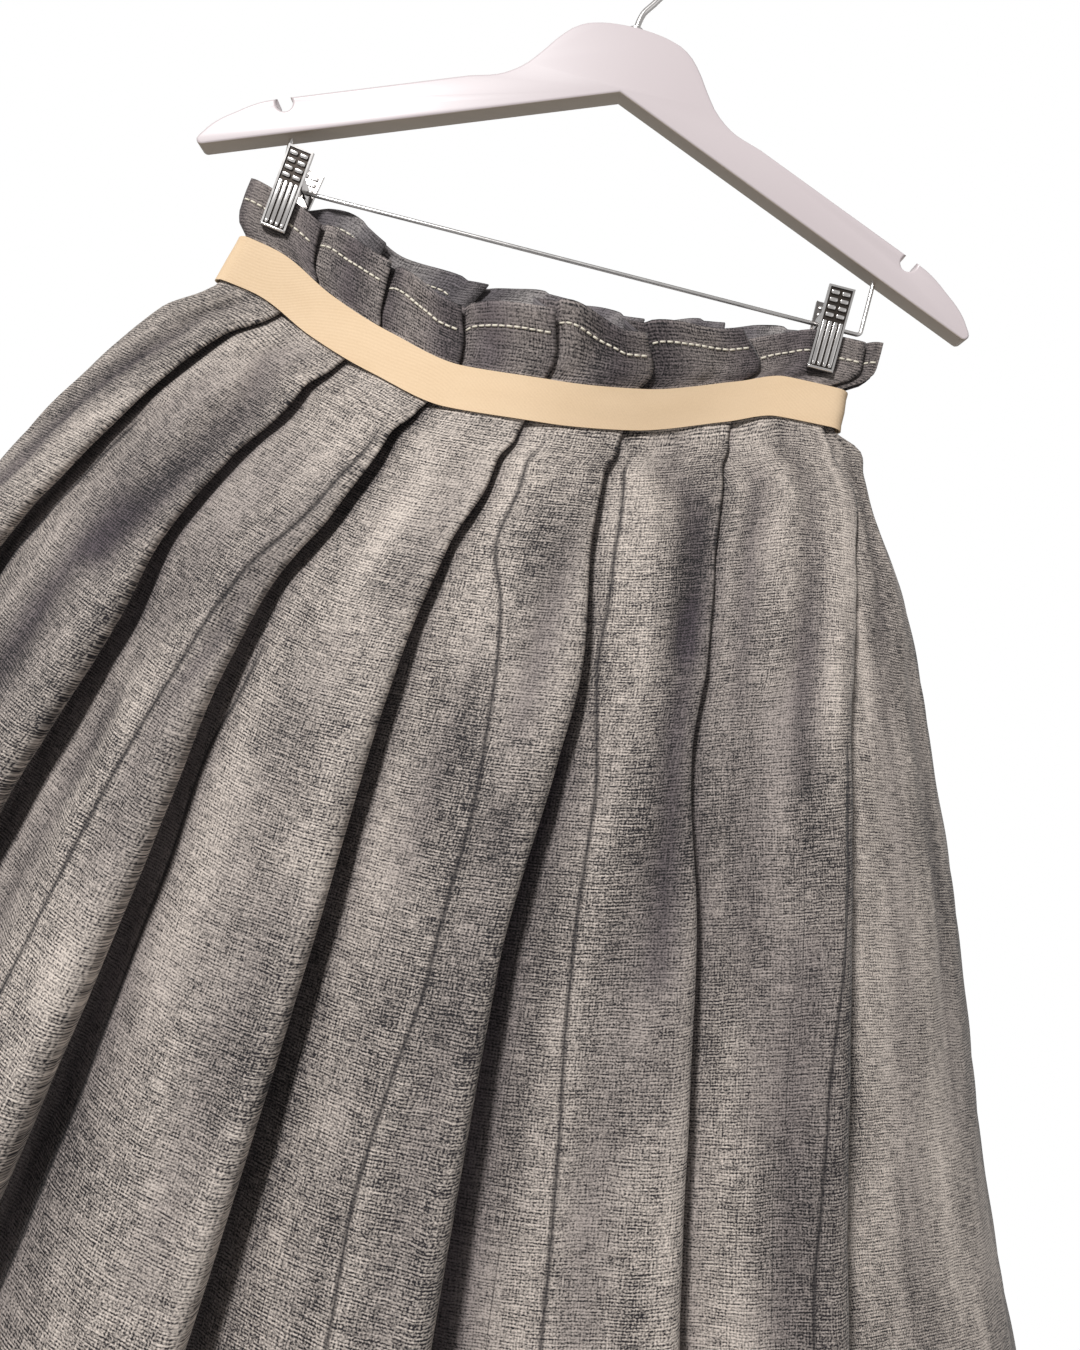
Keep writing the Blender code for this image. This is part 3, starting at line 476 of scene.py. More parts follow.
# Broad soft shades: panel, place across it, from and to down the cloth, half width, darkness
frontShades = [
    (0, 0.80, 0.03, 0.70, 0.018, 0.50), (0, 0.45, 0.08, 0.70, 0.016, 0.36),
    (1, 0.52, 0.03, 0.40, 0.010, 0.34), (1, 0.28, 0.03, 0.28, 0.012, 0.30),
    (1, 0.72, 0.10, 0.50, 0.020, 0.34), (2, 0.30, 0.05, 0.24, 0.016, 0.22),
    (2, 0.86, 0.06, 0.34, 0.010, 0.36), (3, 0.22, 0.30, 0.70, 0.016, 0.26),
    (4, 0.74, 0.05, 0.26, 0.011, 0.30), (4, 0.40, 0.16, 0.50, 0.012, 0.22),
    (5, 0.16, 0.16, 0.70, 0.014, 0.42), (5, 0.84, 0.03, 0.40, 0.014, 0.40),
    (5, 0.55, 0.36, 0.70, 0.010, 0.22), (6, 0.22, 0.02, 0.34, 0.012, 0.38),
    (6, 0.60, 0.10, 0.52, 0.016, 0.34), (6, 0.86, 0.22, 0.70, 0.010, 0.30),
    (7, 0.18, 0.08, 0.70, 0.014, 0.32), (7, 0.40, 0.30, 0.70, 0.012, 0.20),
]
backShades = [
    (0, 0.76, 0.05, 0.70, 0.016, 0.32), (1, 0.66, 0.06, 0.50, 0.016, 0.32),
    (2, 0.36, 0.06, 0.34, 0.014, 0.24), (3, 0.24, 0.16, 0.70, 0.015, 0.34),
    (4, 0.74, 0.04, 0.36, 0.013, 0.34), (5, 0.40, 0.08, 0.52, 0.014, 0.28),
    (6, 0.62, 0.05, 0.60, 0.015, 0.32), (7, 0.20, 0.06, 0.70, 0.013, 0.30),
]


def ringAt(down):
    downs = [ring[0] for ring in skirt["rings"]]
    names = ("down", "centre", "half", "front", "back", "pinch", "lift", "lap")
    columns = zip(*skirt["rings"])
    return {name: readBetween(downs, column, down) for name, column in zip(names, columns)}


def basePoint(ring, isBack, angle):
    angle = clamp(angle, -math.pi / 2, math.pi / 2)
    across = math.sin(angle)
    centre = -ring["centre"] if isBack else ring["centre"]
    depth = ring["back"] if isBack else ring["front"]
    bulge = math.cos(math.pi / 2 * min(abs(across) / skirt["bulgeEnd"], 1)) ** 2
    shape = ring["pinch"] * bulge + (1 - ring["pinch"]) * math.cos(angle)
    atSeam = skirt["seamGap"] / 2 + skirt["wall"] / 2 * ring["pinch"]
    fromSide = ring["half"] * (1 - abs(across))
    inward = 1 - math.exp(-fromSide / skirt["wall"])
    opened = (skirt["waistGap"] - atSeam) * ring["pinch"] * inward
    return centre + ring["half"] * across, -(atSeam + opened + depth * shape)


def outwardAt(ring, isBack, angle):
    ahead = basePoint(ring, isBack, min(angle + 0.02, math.pi / 2))
    behind = basePoint(ring, isBack, max(angle - 0.02, -math.pi / 2))
    along = Vector((ahead[0] - behind[0], ahead[1] - behind[1])).normalized()
    return along.y, -along.x


def steppedAngle(ring, isBack, angle, distance):
    for _ in range(12):
        here = basePoint(ring, isBack, angle)
        near = basePoint(ring, isBack, angle + 0.004 if angle < 0 else angle - 0.004)
        angle += distance / 12 / max(math.dist(here, near) / 0.004, 0.02)
    return angle


def dipAt(isBack, across):
    dips = skirt["backDip"] if isBack else skirt["frontDip"]
    return readBetween([dip[0] for dip in dips], [dip[1] for dip in dips], across)


def levelAt(ring, isBack, angle, frill):
    across = math.sin(clamp(angle, -math.pi / 2, math.pi / 2))
    waist = skirt["waistLevel"] - dipAt(isBack, across)
    if ring["down"] < 0:
        return waist + frill * ring["down"] / -skirt["frill"]
    toLeft = across if isBack else -across
    share = max(toLeft - 1 + skirt["leftShare"], 0) / skirt["leftShare"]
    lower = skirt["leftDrop"] * share**1.5 * min(ring["down"] / 0.025, 1)
    return waist - ring["down"] * (1 - skirt["sideRise"] * across**2) - lower


def ringColumns(isBack, down):
    # one ring as (panel, across the panel, angle, offset outward, height of the frill)
    ring = ringAt(down)
    own = skirt["backFolds" if isBack else "frontFolds"]
    other = skirt["frontFolds" if isBack else "backFolds"]
    levels = skirt["foldLevels"]

    def place(fold):
        return math.asin(readBetween(levels, fold[:10], down))

    edges = [place(other[-1]) - math.pi, *map(place, own), place(other[0]) + math.pi]
    enders = own + [other[0]]
    pressed = 2 * skirt["layer"]
    lifts = [pressed + max(ring["lift"] - pressed, 0) * fold[10] for fold in enders]
    crowns = [steppedAngle(ring, isBack, edge, -ring["lap"]) for edge in edges[1:8]]
    crowns.append(edges[8] - (edges[1] - crowns[0]))
    columns = []

    def onPanel(n, angle):
        start, crown, edge = edges[n], crowns[n], edges[n + 1]
        share = clamp((angle - start) / (crown - start))
        pressedRise = 1 - (1 - share) ** 3
        hangingRise = share * (1.4 - 0.4 * share)
        rise = ring["pinch"] * pressedRise + (1 - ring["pinch"]) * hangingRise
        arch = skirt["frillArch"] * math.sin(math.pi * share**0.6)
        frill = enders[n][11] + (enders[n][12] - enders[n][11]) * share + arch
        columns.append((n, (angle - start) / (edge - start), angle, lifts[n] * rise, frill))

    steps = skirt["panelSteps"]
    for n in range(8):
        first = -math.pi / 2 if n == 0 else edges[n]
        last = math.pi / 2 if n == 7 else crowns[n]
        for k in range(steps):
            onPanel(n, first + (last - first) * k / (steps - 1))
        if n == 7:
            break
        lap = edges[n + 1] - crowns[n]
        crownAcross = (crowns[n] - edges[n]) / (edges[n + 1] - edges[n])
        high, nextHigh = enders[n][12], enders[n + 1][11]
        roll = clamp((down - 0.045) / 0.10)
        for along, below, rolled in skirt["turn"]:
            across = crownAcross + (1 - crownAcross) * min(along, 1.9 - along)
            offset = lifts[n] - (1 - roll) * below / 1000 - roll * rolled * lifts[n]
            columns.append((n, across, crowns[n] + lap * along, offset, high))
        foot, top, last = skirt["layer"], offset, skirt["turn"][-1][0]
        for share in (0.33, 0.67, 1.0):
            along = last * (1 - share) ** 1.2
            offset = top + (foot - top) * share
            frill = high + (nextHigh - high) * share
            columns.append((n, 1.6, crowns[n] + lap * along, offset, frill))
        columns.append((n + 1, -0.3, crowns[n] + lap * 0.02, 0.0, nextHigh))
        columns.append((n + 1, -0.15, crowns[n] + lap * 0.5, 0.0, nextHigh))
    return ring, edges, columns


def creaseAt(creases, panel, down, across, width):
    # depth of the soft troughs here, and how much of a trough it is
    depth = 0.0
    for number, path, half, deep in creases:
        if number != panel or not path[0][0] - 0.02 < down < path[-1][0] + 0.02:
            continue
        place = readBetween([p[0] for p in path], [p[1] for p in path], down)
        if path[0][0] <= down <= path[-1][0]:
            fade = 1.0
        else:
            gone = max(path[0][0] - down, down - path[-1][0]) / 0.02
            fade = (1 - gone) ** 2 * (1 + 2 * gone)
        run = path[-1][0] - path[0][0]
        swell = 0.75 + 0.25 * math.sin(math.pi * clamp((down - path[0][0]) / run))
        away = (across - place) * width / half
        depth += deep * fade * swell * math.exp(-away * away)
    return depth


def pressedAt(lines, panel, down, across, width):
    best = (0.02, 0.0)
    for number, path in lines:
        if number != panel or not path[0][0] <= down <= path[-1][0]:
            continue
        place = readBetween([p[0] for p in path], [p[1] for p in path], down)
        away = (across - place) * width
        if abs(away) < abs(best[0]):
            ends = min(down - path[0][0], path[-1][0] - down) / 0.02
            best = (away, clamp(ends))
    return best


def wobble(down, along, seed):
    # the slight unevenness of cloth that hangs by itself
    return (
        0.45 * math.sin(61 * down + 37 * along + seed)
        + 0.30 * math.sin(113 * down - 71 * along + 2.1 * seed)
        + 0.25 * math.sin(29 * down + 139 * along + 3.7 * seed)
    )


def shadeAt(shades, panel, down, across, width):
    # broad soft shading where the cloth turns from the light
    dark = 0.0
    for number, place, top, bottom, half, deep in shades:
        if number == panel:
            away = (across - place) * width / half
            ends = clamp((down - top) / 0.05) * clamp((bottom - down) / 0.05)
            dark += deep * ends * math.exp(-away * away)
    return dark


def paintedShadeAt(ring, n, down, across, width, depth, shades):
    # painted shade: how dark the cloth is painted here, in troughs, beneath folds and on the frill
    reach = 0.0035 + 0.30 * max(ring["lift"] - 0.006, 0)
    # painted shadow beside each fold's edge, fading across the next panel
    if n and across < 1.05:
        before = math.exp(-((max(across, 0) * width / reach) ** 2))
    else:
        before = 1.0 if across > 1.5 else 0.0
    paintedDark = max(0.80 * before, 0.62 * clamp(depth / 0.0055))
    if down < 0:
        # painted shade over the whole frill
        paintedDark = max(paintedDark, 0.74 + 0.16 * math.sin(7 * across + 4 * n))
    elif across < 1.05:
        paintedDark += shadeAt(shades, n, down, across, width)
    return clamp(paintedDark)


def facePoints(isBack, creases, pressed, shades):
    # rows of points in the middle of the wall, their marks of painted shade and pressed lines, and
    # their places on the flat cloth
    creases, pressed = inMetres(creases), inMetres(pressed)
    above = np.linspace(-skirt["frill"], skirt["fineTo"], skirt["rowsAbove"])
    below = np.linspace(skirt["fineTo"], skirt["length"], skirt["rowsBelow"])[1:]
    downs = [float(d) for d in above] + [float(d) for d in below]
    grid, marks, uvs = [], [], []
    for down in downs:
        ring, edges, columns = ringColumns(isBack, down)
        row, rowMarks, rowUvs = [], [], []
        depth = 0.0
        for n, across, angle, offset, frill in columns:
            width = max(ring["half"] * (edges[n + 1] - edges[n]) * 0.8, 0.03)
            if across > 1.5:
                depth *= 0.45  # a trough that reaches a fold's edge fades under it
            elif across < 0:
                depth = 0.0
            else:
                depth = creaseAt(creases, n, down, across, width)
            depth = min(depth, 0.45 * offset + (0.0005 if down > 0 else 0.0014))
            if 0 <= down <= skirt["tapeReach"]:
                depth = 0.0
            paintedDark = paintedShadeAt(ring, n, down, across, width, depth, shades)
            soft = clamp((down - 0.03) / 0.08)
            line, strength = pressedAt(pressed, n, down, across, width)
            lift = offset - depth + soft * 0.0009 * wobble(down, angle, 1.7 * n)
            x, y = basePoint(ring, isBack, angle)
            outX, outY = outwardAt(ring, isBack, angle)
            z = levelAt(ring, isBack, angle, frill)
            row.append((x + outX * lift, y + outY * lift, z))
            rowMarks.append((paintedDark, line, strength))
            rowUvs.append((n * 0.31 + (across - 0.5) * width, down))
        grid.append(row)
        marks.append(rowMarks)
        uvs.append(rowUvs)
    return np.array(grid), np.array(marks), np.array(uvs)


def faceQuads(rows, count):
    # the outside, the inside and the rim between them, and 1 for each that lies inside
    half = rows * count
    faces, kinds = [], []
    for r in range(rows - 1):
        for c in range(count - 1):
            a, d = r * count + c, (r + 1) * count + c
            faces.append((a, d, d + 1, a + 1))
            faces.append((half + a, half + a + 1, half + d + 1, half + d))
            kinds += [0, 1]
    rim = [(0, c, 0, c + 1) for c in range(count - 1)]
    rim += [(r, count - 1, r + 1, count - 1) for r in range(rows - 1)]
    rim += [(rows - 1, c + 1, rows - 1, c) for c in range(count - 1)]
    rim += [(r + 1, 0, r, 0) for r in range(rows - 1)]
    for r, c, s, d in rim:
        a, b = r * count + c, s * count + d
        faces.append((a, b, half + b, half + a))
        kinds.append(0)
    return faces, kinds


def newPiece(name, points, faces, *materials):
    mesh = bpy.data.meshes.new(name)
    mesh.from_pydata(points, [], faces)
    mesh.polygons.foreach_set("use_smooth", [True] * len(faces))
    for material in materials:
        mesh.materials.append(material)
    mesh.update()
    piece = bpy.data.objects.new(name, mesh)
    bpy.context.scene.collection.objects.link(piece)
    return piece, mesh


def makeFace(name, isBack, creases, pressed, shades):
    middle, marks, uvs = facePoints(isBack, creases, pressed, shades)
    alongRow = np.gradient(middle, axis=1)
    downRow = np.gradient(middle, axis=0)
    normals = np.cross(downRow, alongRow)
    normals /= np.maximum(np.linalg.norm(normals, axis=2, keepdims=True), 1e-9)
    outer = middle + normals * (skirt["wall"] / 2)
    inner = outer - normals * skirt["cloth"]
    # the two faces meet at the side seams
    for side in (outer, inner):
        side[:, 0, 0], side[:, -1, 0] = middle[:, 0, 0], middle[:, -1, 0]
        side[:, (0, -1), 1] = np.minimum(side[:, (0, -1), 1], -skirt["seamGap"] / 2)
    rows, count = middle.shape[:2]
    points = np.concatenate([outer.reshape(-1, 3), inner.reshape(-1, 3)])
    if isBack:
        points = points * np.array([-1.0, -1.0, 1.0])
    faces, kinds = faceQuads(rows, count)
    piece, mesh = newPiece(name, [tuple(p) for p in points], faces, clothOutside, clothInside)
    mesh.polygons.foreach_set("material_index", kinds)
    marks = np.tile(marks.reshape(-1, 3), (2, 1))
    # the painted shade, then where the pressed lines run
    for i, label in enumerate(("trough", "pressed", "pressedness")):
        values = mesh.attributes.new(label, "FLOAT", "POINT").data
        values.foreach_set("value", marks[:, i].copy())
    corners = np.empty(len(mesh.loops), dtype=np.int32)
    mesh.loops.foreach_get("vertex_index", corners)
    uvs = np.tile(uvs.reshape(-1, 2), (2, 1))
    mesh.uv_layers.new(name="cut").data.foreach_set("uv", uvs[corners].ravel())
    mesh.update()
    hem = np.linalg.norm(np.diff(middle[-1], axis=0), axis=1).sum()
    area = 0.5 * sum(p.area for p in mesh.polygons)
    print(name, "hem round its folds", round(float(hem), 3), "m, cloth", round(area, 3), "m2")
    return piece, float(hem), area


skirtFront, frontHem, frontArea = makeFace(
    "skirtFront", False, frontCreases, frontPressed, frontShades)
skirtBack, backHem, backArea = makeFace(
    "skirtBack", True, backCreases, backPressed, backShades)
for piece, node, hem, area in (
    (skirtFront, "skirt_front", frontHem, frontArea),
    (skirtBack, "skirt_back", backHem, backArea),
):
    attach(piece, "root")
    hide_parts(node)
    min(area, hem * 0.742)
print("skirt made")


# Tape waistband, round over the pleats
band = {"height": 0.025, "thick": 0.0010, "gap": 0.0005, "inset": 0.0006, "end": 0.002,
        "runPoints": 150, "turnPoints": 9, "downSteps": 6}


def tapeRow(down, offset):
    ring = ringAt(down)
    run = ring["half"] - band["end"]
    points = []
    for isBack in (False, True):
        flip = -1 if isBack else 1
        centre = -ring["centre"] if isBack else ring["centre"]
        for i in range(band["runPoints"]):
            across = run / ring["half"] * (2 * i / (band["runPoints"] - 1) - 1)
            angle = math.asin(across)
            x, y = basePoint(ring, isBack, angle)
            outX, outY = outwardAt(ring, isBack, angle)
            if abs(across) > skirt["bulgeEnd"]:
                outX, outY = 0, -1
            z = levelAt(ring, isBack, angle, 0)
            points.append((flip * (x + outX * offset), flip * (y + outY * offset), z))
        for i in range(1, band["turnPoints"]):
            turn = math.pi * i / band["turnPoints"]
            x = centre + run + (band["end"] + offset) * math.sin(turn)
            y = -(skirt["waistGap"] + offset) * math.cos(turn)
            points.append((flip * x, flip * y, levelAt(ring, isBack, math.pi / 2, 0)))
    return points


def makeTape():
    clear = 2 * skirt["layer"] + skirt["wall"] / 2 + band["gap"]
    top, bottom = band["inset"], band["height"] - band["inset"]
    rows = []
    for i in range(band["downSteps"] + 1):
        t = i / band["downSteps"]
        down = top + (bottom - top) * t
        rows.append((tapeRow(down, clear + band["thick"]), down))
    for t in (1.0, 0.5, 0.0):
        down = top + (bottom - top) * t
        rows.append((tapeRow(down, clear), down))
    count = len(rows[0][0])
    outside = np.array(rows[2][0])
    steps = np.linalg.norm(np.diff(outside, axis=0, append=outside[:1]), axis=1)
    along = np.concatenate([[0], np.cumsum(steps)])
    points = [p for row, _ in rows for p in row]
    faces, uvs = [], []
    for r in range(len(rows)):
        s = (r + 1) % len(rows)
        for c in range(count):
            d = (c + 1) % count
            faces.append((r * count + c, s * count + c, s * count + d, r * count + d))
            low, high = rows[r][1], rows[s][1]
            uvs += [(along[c], low), (along[c], high), (along[c + 1], high), (along[c + 1], low)]
    piece, mesh = newPiece("waistTape", points, faces, tape)
    mesh.uv_layers.new(name="cut").data.foreach_set("uv", np.array(uvs).ravel())
    mesh.set_sharp_from_angle(angle=math.radians(50))
    return piece, float(along[-1])


waistTape, tapeLength = makeTape()
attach(waistTape, "root")
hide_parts("waistband")
print("tape made,", round(tapeLength, 3), "m round")


# Topstitching: one slim stitch, repeated along lines on the cloth
stitch = {"long": 0.0031, "gap": 0.0010, "thick": 0.00052, "fromEdge": 0.0115, "hemUp": 0.020}


def stitchLine(mesh, count, rowOf, side):
    # points along a row of the finished cloth, over its panels and laps only
    half = len(mesh.vertices) // 2
    vertices = mesh.vertices
    runs, run = [], []
    block = skirt["panelSteps"] + len(skirt["turn"]) + 5  # columns of a panel and its fold
    for c in range(count):
        row, share = rowOf(c)
        a = vertices[side * half + row * count + c]
        b = vertices[side * half + (row + 1) * count + c]
        if c % block < skirt["panelSteps"] + 3:
            lift = a.normal.lerp(b.normal, share).normalized() * stitch["thick"] * 0.22
            run.append(a.co.lerp(b.co, share) + lift)
        elif run:
            runs.append(run)
            run = []
    if run:
        runs.append(run)
    return runs


def layStitches(name, runs):
    bpy.ops.object.select_all(action="DESELECT")
    bpy.ops.mesh.primitive_cylinder_add(
        vertices=6, radius=stitch["thick"] / 2, depth=stitch["long"] * 0.72)
    one = bpy.context.object
    bpy.ops.object.mode_set(mode="EDIT")
    bpy.ops.mesh.select_all(action="DESELECT")
    bpy.ops.object.mode_set(mode="OBJECT")
    for face in one.data.polygons:
        face.select = abs(face.normal.z) > 0.9
    bpy.ops.object.mode_set(mode="EDIT")
    bpy.ops.mesh.select_mode(type="FACE")
    bpy.ops.mesh.inset(thickness=stitch["thick"] * 0.22, depth=stitch["long"] * 0.12)
    bpy.ops.object.mode_set(mode="OBJECT")
    shape = np.array([v.co[:] for v in one.data.vertices])
    shape[:, 0] *= 0.8
    sides = [tuple(f.vertices) for f in one.data.polygons]
    bpy.data.objects.remove(one)
    points, faces = [], []
    pitch = stitch["long"] + stitch["gap"]
    for run in runs:
        lengths = [0.0]
        for a, b in zip(run, run[1:]):
            lengths.append(lengths[-1] + (b - a).length)
        number = int((lengths[-1] - 0.001) / pitch)
        for k in range(number):
            middle = (k + 0.5) * pitch + (lengths[-1] - number * pitch) / 2
            ends = []
            for place in (middle - stitch["long"] / 2, middle + stitch["long"] / 2):
                i = max(n for n in range(len(lengths) - 1) if n == 0 or lengths[n] <= place)
                share = (place - lengths[i]) / max(lengths[i + 1] - lengths[i], 1e-6)
                ends.append(run[i].lerp(run[i + 1], share))
            along = ends[1] - ends[0]
            turn = Vector((0, 0, 1)).rotation_difference(along).to_matrix()
            turn = turn @ Matrix.Rotation(0.35 * math.sin(5.1 * k), 3, "Z")
            start = len(points)
            centre = (ends[0] + ends[1]) / 2
            slant = 0.00012 * math.sin(7.3 * k)
            points += [tuple(turn @ Vector(p) + centre + Vector((0, 0, slant))) for p in shape]
            faces += [tuple(start + i for i in f) for f in sides]
    piece, _ = newPiece(name, points, faces, thread)
    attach(piece, "root")
    print(name, len(points) // len(shape), "stitches")


def frillRuns(piece, isBack, side):
    _, _, columns = ringColumns(isBack, -0.018)
    count = len(columns)
    spacing = (skirt["frill"] + skirt["fineTo"]) / (skirt["rowsAbove"] - 1)

    def rowOf(c):
        place = stitch["fromEdge"] / columns[c][4] * skirt["frill"] / spacing
        return int(place), place - int(place)

    return stitchLine(piece.data, count, rowOf, side)


def hemRuns(piece, isBack):
    count = len(ringColumns(isBack, 0.6)[2])
    spacing = (skirt["length"] - skirt["fineTo"]) / (skirt["rowsBelow"] - 1)
    rows = skirt["rowsAbove"] + skirt["rowsBelow"] - 1
    place = rows - 1 - stitch["hemUp"] / spacing
    return stitchLine(piece.data, count, lambda c: (int(place), place - int(place)), 0)


layStitches("frillStitching", frillRuns(skirtFront, False, 0) + frillRuns(skirtBack, True, 0)
            + frillRuns(skirtFront, False, 1) + frillRuns(skirtBack, True, 1))
layStitches("hemStitching", hemRuns(skirtFront, False) + hemRuns(skirtBack, True))


# Helpers for hard pieces
def startPiece():
    if bpy.context.object and bpy.context.object.mode != "OBJECT":
        bpy.ops.object.mode_set(mode="OBJECT")
    bpy.ops.object.select_all(action="DESELECT")


def selectFaces(piece, chosen):
    bpy.ops.object.mode_set(mode="EDIT")
    bpy.ops.mesh.select_mode(type="FACE")
    bpy.ops.mesh.select_all(action="DESELECT")
    bpy.ops.object.mode_set(mode="OBJECT")
    for face in piece.data.polygons:
        face.select = bool(chosen(face))
    bpy.ops.object.mode_set(mode="EDIT")


def settle(piece, name, smooth=40):
    # places applied, normals outwards, round parts smooth
    startPiece()
    piece.select_set(True)
    bpy.context.view_layer.objects.active = piece
    bpy.ops.object.transform_apply(location=True, rotation=True, scale=True)
    bpy.ops.object.mode_set(mode="EDIT")
    bpy.ops.mesh.select_all(action="SELECT")
    bpy.ops.mesh.remove_doubles(threshold=0.00001)
    bpy.ops.mesh.normals_make_consistent(inside=False)
    bpy.ops.object.mode_set(mode="OBJECT")
    bpy.ops.object.shade_smooth_by_angle(angle=math.radians(smooth))
    piece.name = name
    piece.data.name = name
    return piece


def dress(piece, material, slot, *nodes):
    if not piece.data.materials:
        piece.data.materials.append(material)
    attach(piece, "root")
    if nodes:
        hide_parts(*nodes)


def makeWire(name, route, diameter):
    startPiece()
    bpy.ops.curve.primitive_nurbs_path_add()
    path = bpy.context.object
    curve = path.data
    curve.splines.clear()
    line = curve.splines.new("POLY")
    line.points.add(len(route) - 1)
    for point, place in zip(line.points, route):
        point.co = (*place, 1)
    curve.bevel_depth = diameter / 2
    curve.bevel_resolution = 5
    curve.use_fill_caps = True
    bpy.ops.object.convert(target="MESH")
    return settle(bpy.context.object, name, 60)


# Hanger board
hanger = {
    "half": 0.2215, "thick": 0.014, "edge": 0.0014, "crest": -0.0755, "apex": -0.1131,
    "slope": 0.393, "armDepth": 0.0215, "shoulder": 0.084, "tipCorner": 0.003,
    "notchOut": 0.1790, "notchRadius": 0.0046, "notchDepth": 0.0030,
    "neck": [(0, 0), (0.013, 0.0010), (0.026, 0.0040), (0.034, 0.0088), (0.041, 0.0165),
             (0.048, 0.0265), (0.056, 0.0360), (0.068, 0.0440)],
    "ends": [(0.1860, 0), (0.1900, 0.0003), (0.1970, 0.0018), (0.2040, 0.0044), (0.2090, 0.0062),
             (0.2130, 0.0082), (0.2165, 0.0107), (0.2190, 0.0135), (0.2207, 0.0153)],
}


def armTop(out):
    return hanger["apex"] + hanger["armDepth"] - hanger["slope"] * out


def boardHalf():
    h = hanger
    outs = [p[0] for p in h["neck"]] + [h["shoulder"], 0.1]
    levels = [h["crest"] - p[1] for p in h["neck"]] + [armTop(h["shoulder"]), armTop(0.1)]
    half = []
    for i in range(23):
        out = h["shoulder"] * i / 22
        half.append((out, readBetween(outs, levels, out)))
    heading = math.atan(h["slope"])
    mouth = math.acos(h["notchDepth"] * math.cos(heading) / h["notchRadius"])
    start = math.pi / 2 - heading + mouth
    end = start + 2 * (math.pi - mouth)
    centre = (h["notchOut"], armTop(h["notchOut"]) - h["notchDepth"])
    for i in range(17):
        turn = start + (end - start) * i / 16
        half.append((centre[0] + h["notchRadius"] * math.cos(turn),
                     centre[1] + h["notchRadius"] * math.sin(turn)))
    endOuts, endBelows = [p[0] for p in h["ends"]], [p[1] for p in h["ends"]]
    for i in range(1, 15):
        out = 0.1860 + (0.2207 - 0.1860) * (1 - (1 - i / 14) ** 1.5)
        half.append((out, armTop(out) - readBetween(endOuts, endBelows, out)))
    r = h["tipCorner"]
    cornerX = h["half"] - r
    cornerZ = h["apex"] - h["slope"] * cornerX + r / math.cos(heading)
    for i in range(9):
        turn = (-math.pi / 2 - heading) * i / 8
        half.append((cornerX + r * math.cos(turn), cornerZ + r * math.sin(turn)))
    return half


def makeBoard():
    half = boardHalf()
    outline = half + [(0.0, hanger["apex"])] + [(-x, z) for x, z in reversed(half[1:])]
    startPiece()
    bpy.ops.mesh.primitive_circle_add(vertices=len(outline), radius=0.2, fill_type="NGON")
    board = bpy.context.object
    for vertex, (x, z) in zip(board.data.vertices, outline):
        vertex.co = (x, -hanger["thick"] / 2, z)
    bpy.ops.object.mode_set(mode="EDIT")
    bpy.ops.mesh.select_all(action="SELECT")
    bpy.ops.mesh.extrude_region_move(TRANSFORM_OT_translate={"value": (0, hanger["thick"], 0)})
    bpy.ops.mesh.select_all(action="SELECT")
    bpy.ops.mesh.normals_make_consistent(inside=False)
    bpy.ops.mesh.select_mode(type="EDGE")
    bpy.ops.mesh.select_all(action="DESELECT")
    form = bmesh.from_edit_mesh(board.data)
    for edge in form.edges:
        edge.select = abs(edge.verts[0].co.y - edge.verts[1].co.y) < 1e-6
    bmesh.update_edit_mesh(board.data)
    bpy.ops.mesh.bevel(offset=hanger["edge"], segments=4, affect="EDGES", clamp_overlap=False)
    bpy.ops.object.mode_set(mode="OBJECT")
    board = settle(board, "hangerBoard", 35)
    dress(board, paintedWood, "painted_wood", "hanger_body")


makeBoard()


# Hook, bar and clips
wires = {"hookWire": 0.0036, "hookInside": 0.017, "hookStart": 205, "hookEnd": -18,
         "barWire": 0.0024, "barLevel": -0.2082, "barLeft": -0.1725, "barRight": 0.1640,
         "barBend": 0.0024}


def roundTurn(centre, radius, start, end, steps):
    turns = [math.radians(start + (end - start) * i / steps) for i in range(steps + 1)]
    return [(centre[0] + radius * math.cos(t), 0, centre[1] + radius * math.sin(t)) for t in turns]


def makeHook():
    w = wires
    crest = hanger["crest"]
    ups = [0.0, 0.004, 0.011, 0.019, 0.030, 0.042]
    outs = [0.0, 0.0, 0.0012, 0.0062, 0.0125, 0.0165]
    shank = [(0, 0, crest - 0.010)]
    for i in range(19):
        up = 0.0415 * i / 18
        shank.append((readBetween(ups, outs, up), 0, crest + up))
    bow = roundTurn((0, -w["hookInside"]), w["hookInside"] + w["hookWire"] / 2,
                    w["hookEnd"], w["hookStart"], 44)
    hook = makeWire("hangerHook", shank + bow, w["hookWire"])
    dress(hook, chrome, "chrome", "hanger_hook")
    # the little collar where the hook turns in the board
    startPiece()
    bpy.ops.mesh.primitive_cylinder_add(
        vertices=32, radius=0.0046, depth=0.0022, location=(0, 0, crest + 0.0006))
    collar = bpy.context.object
    selectFaces(collar, lambda face: face.normal.z > 0.9)
    bpy.ops.mesh.inset(thickness=0.0010, depth=0.0008)
    bpy.ops.object.mode_set(mode="OBJECT")
    dress(settle(collar, "hookCollar"), chrome, "chrome")


def makeBar():
    w = wires
    tops = [hanger["apex"] - hanger["slope"] * abs(x) + 0.005
            for x in (w["barLeft"], w["barRight"])]
    lift = w["barLevel"] + w["barBend"]
    left = roundTurn((w["barLeft"] + w["barBend"], lift), w["barBend"], 180, 270, 9)
    right = roundTurn((w["barRight"] - w["barBend"], lift), w["barBend"], 270, 360, 9)
    route = [(w["barLeft"], 0, tops[0])] + left + right + [(w["barRight"], 0, tops[1])]
    dress(makeWire("clipBar", route, w["barWire"]), chrome, "chrome", "clip_bar")


makeHook()
makeBar()

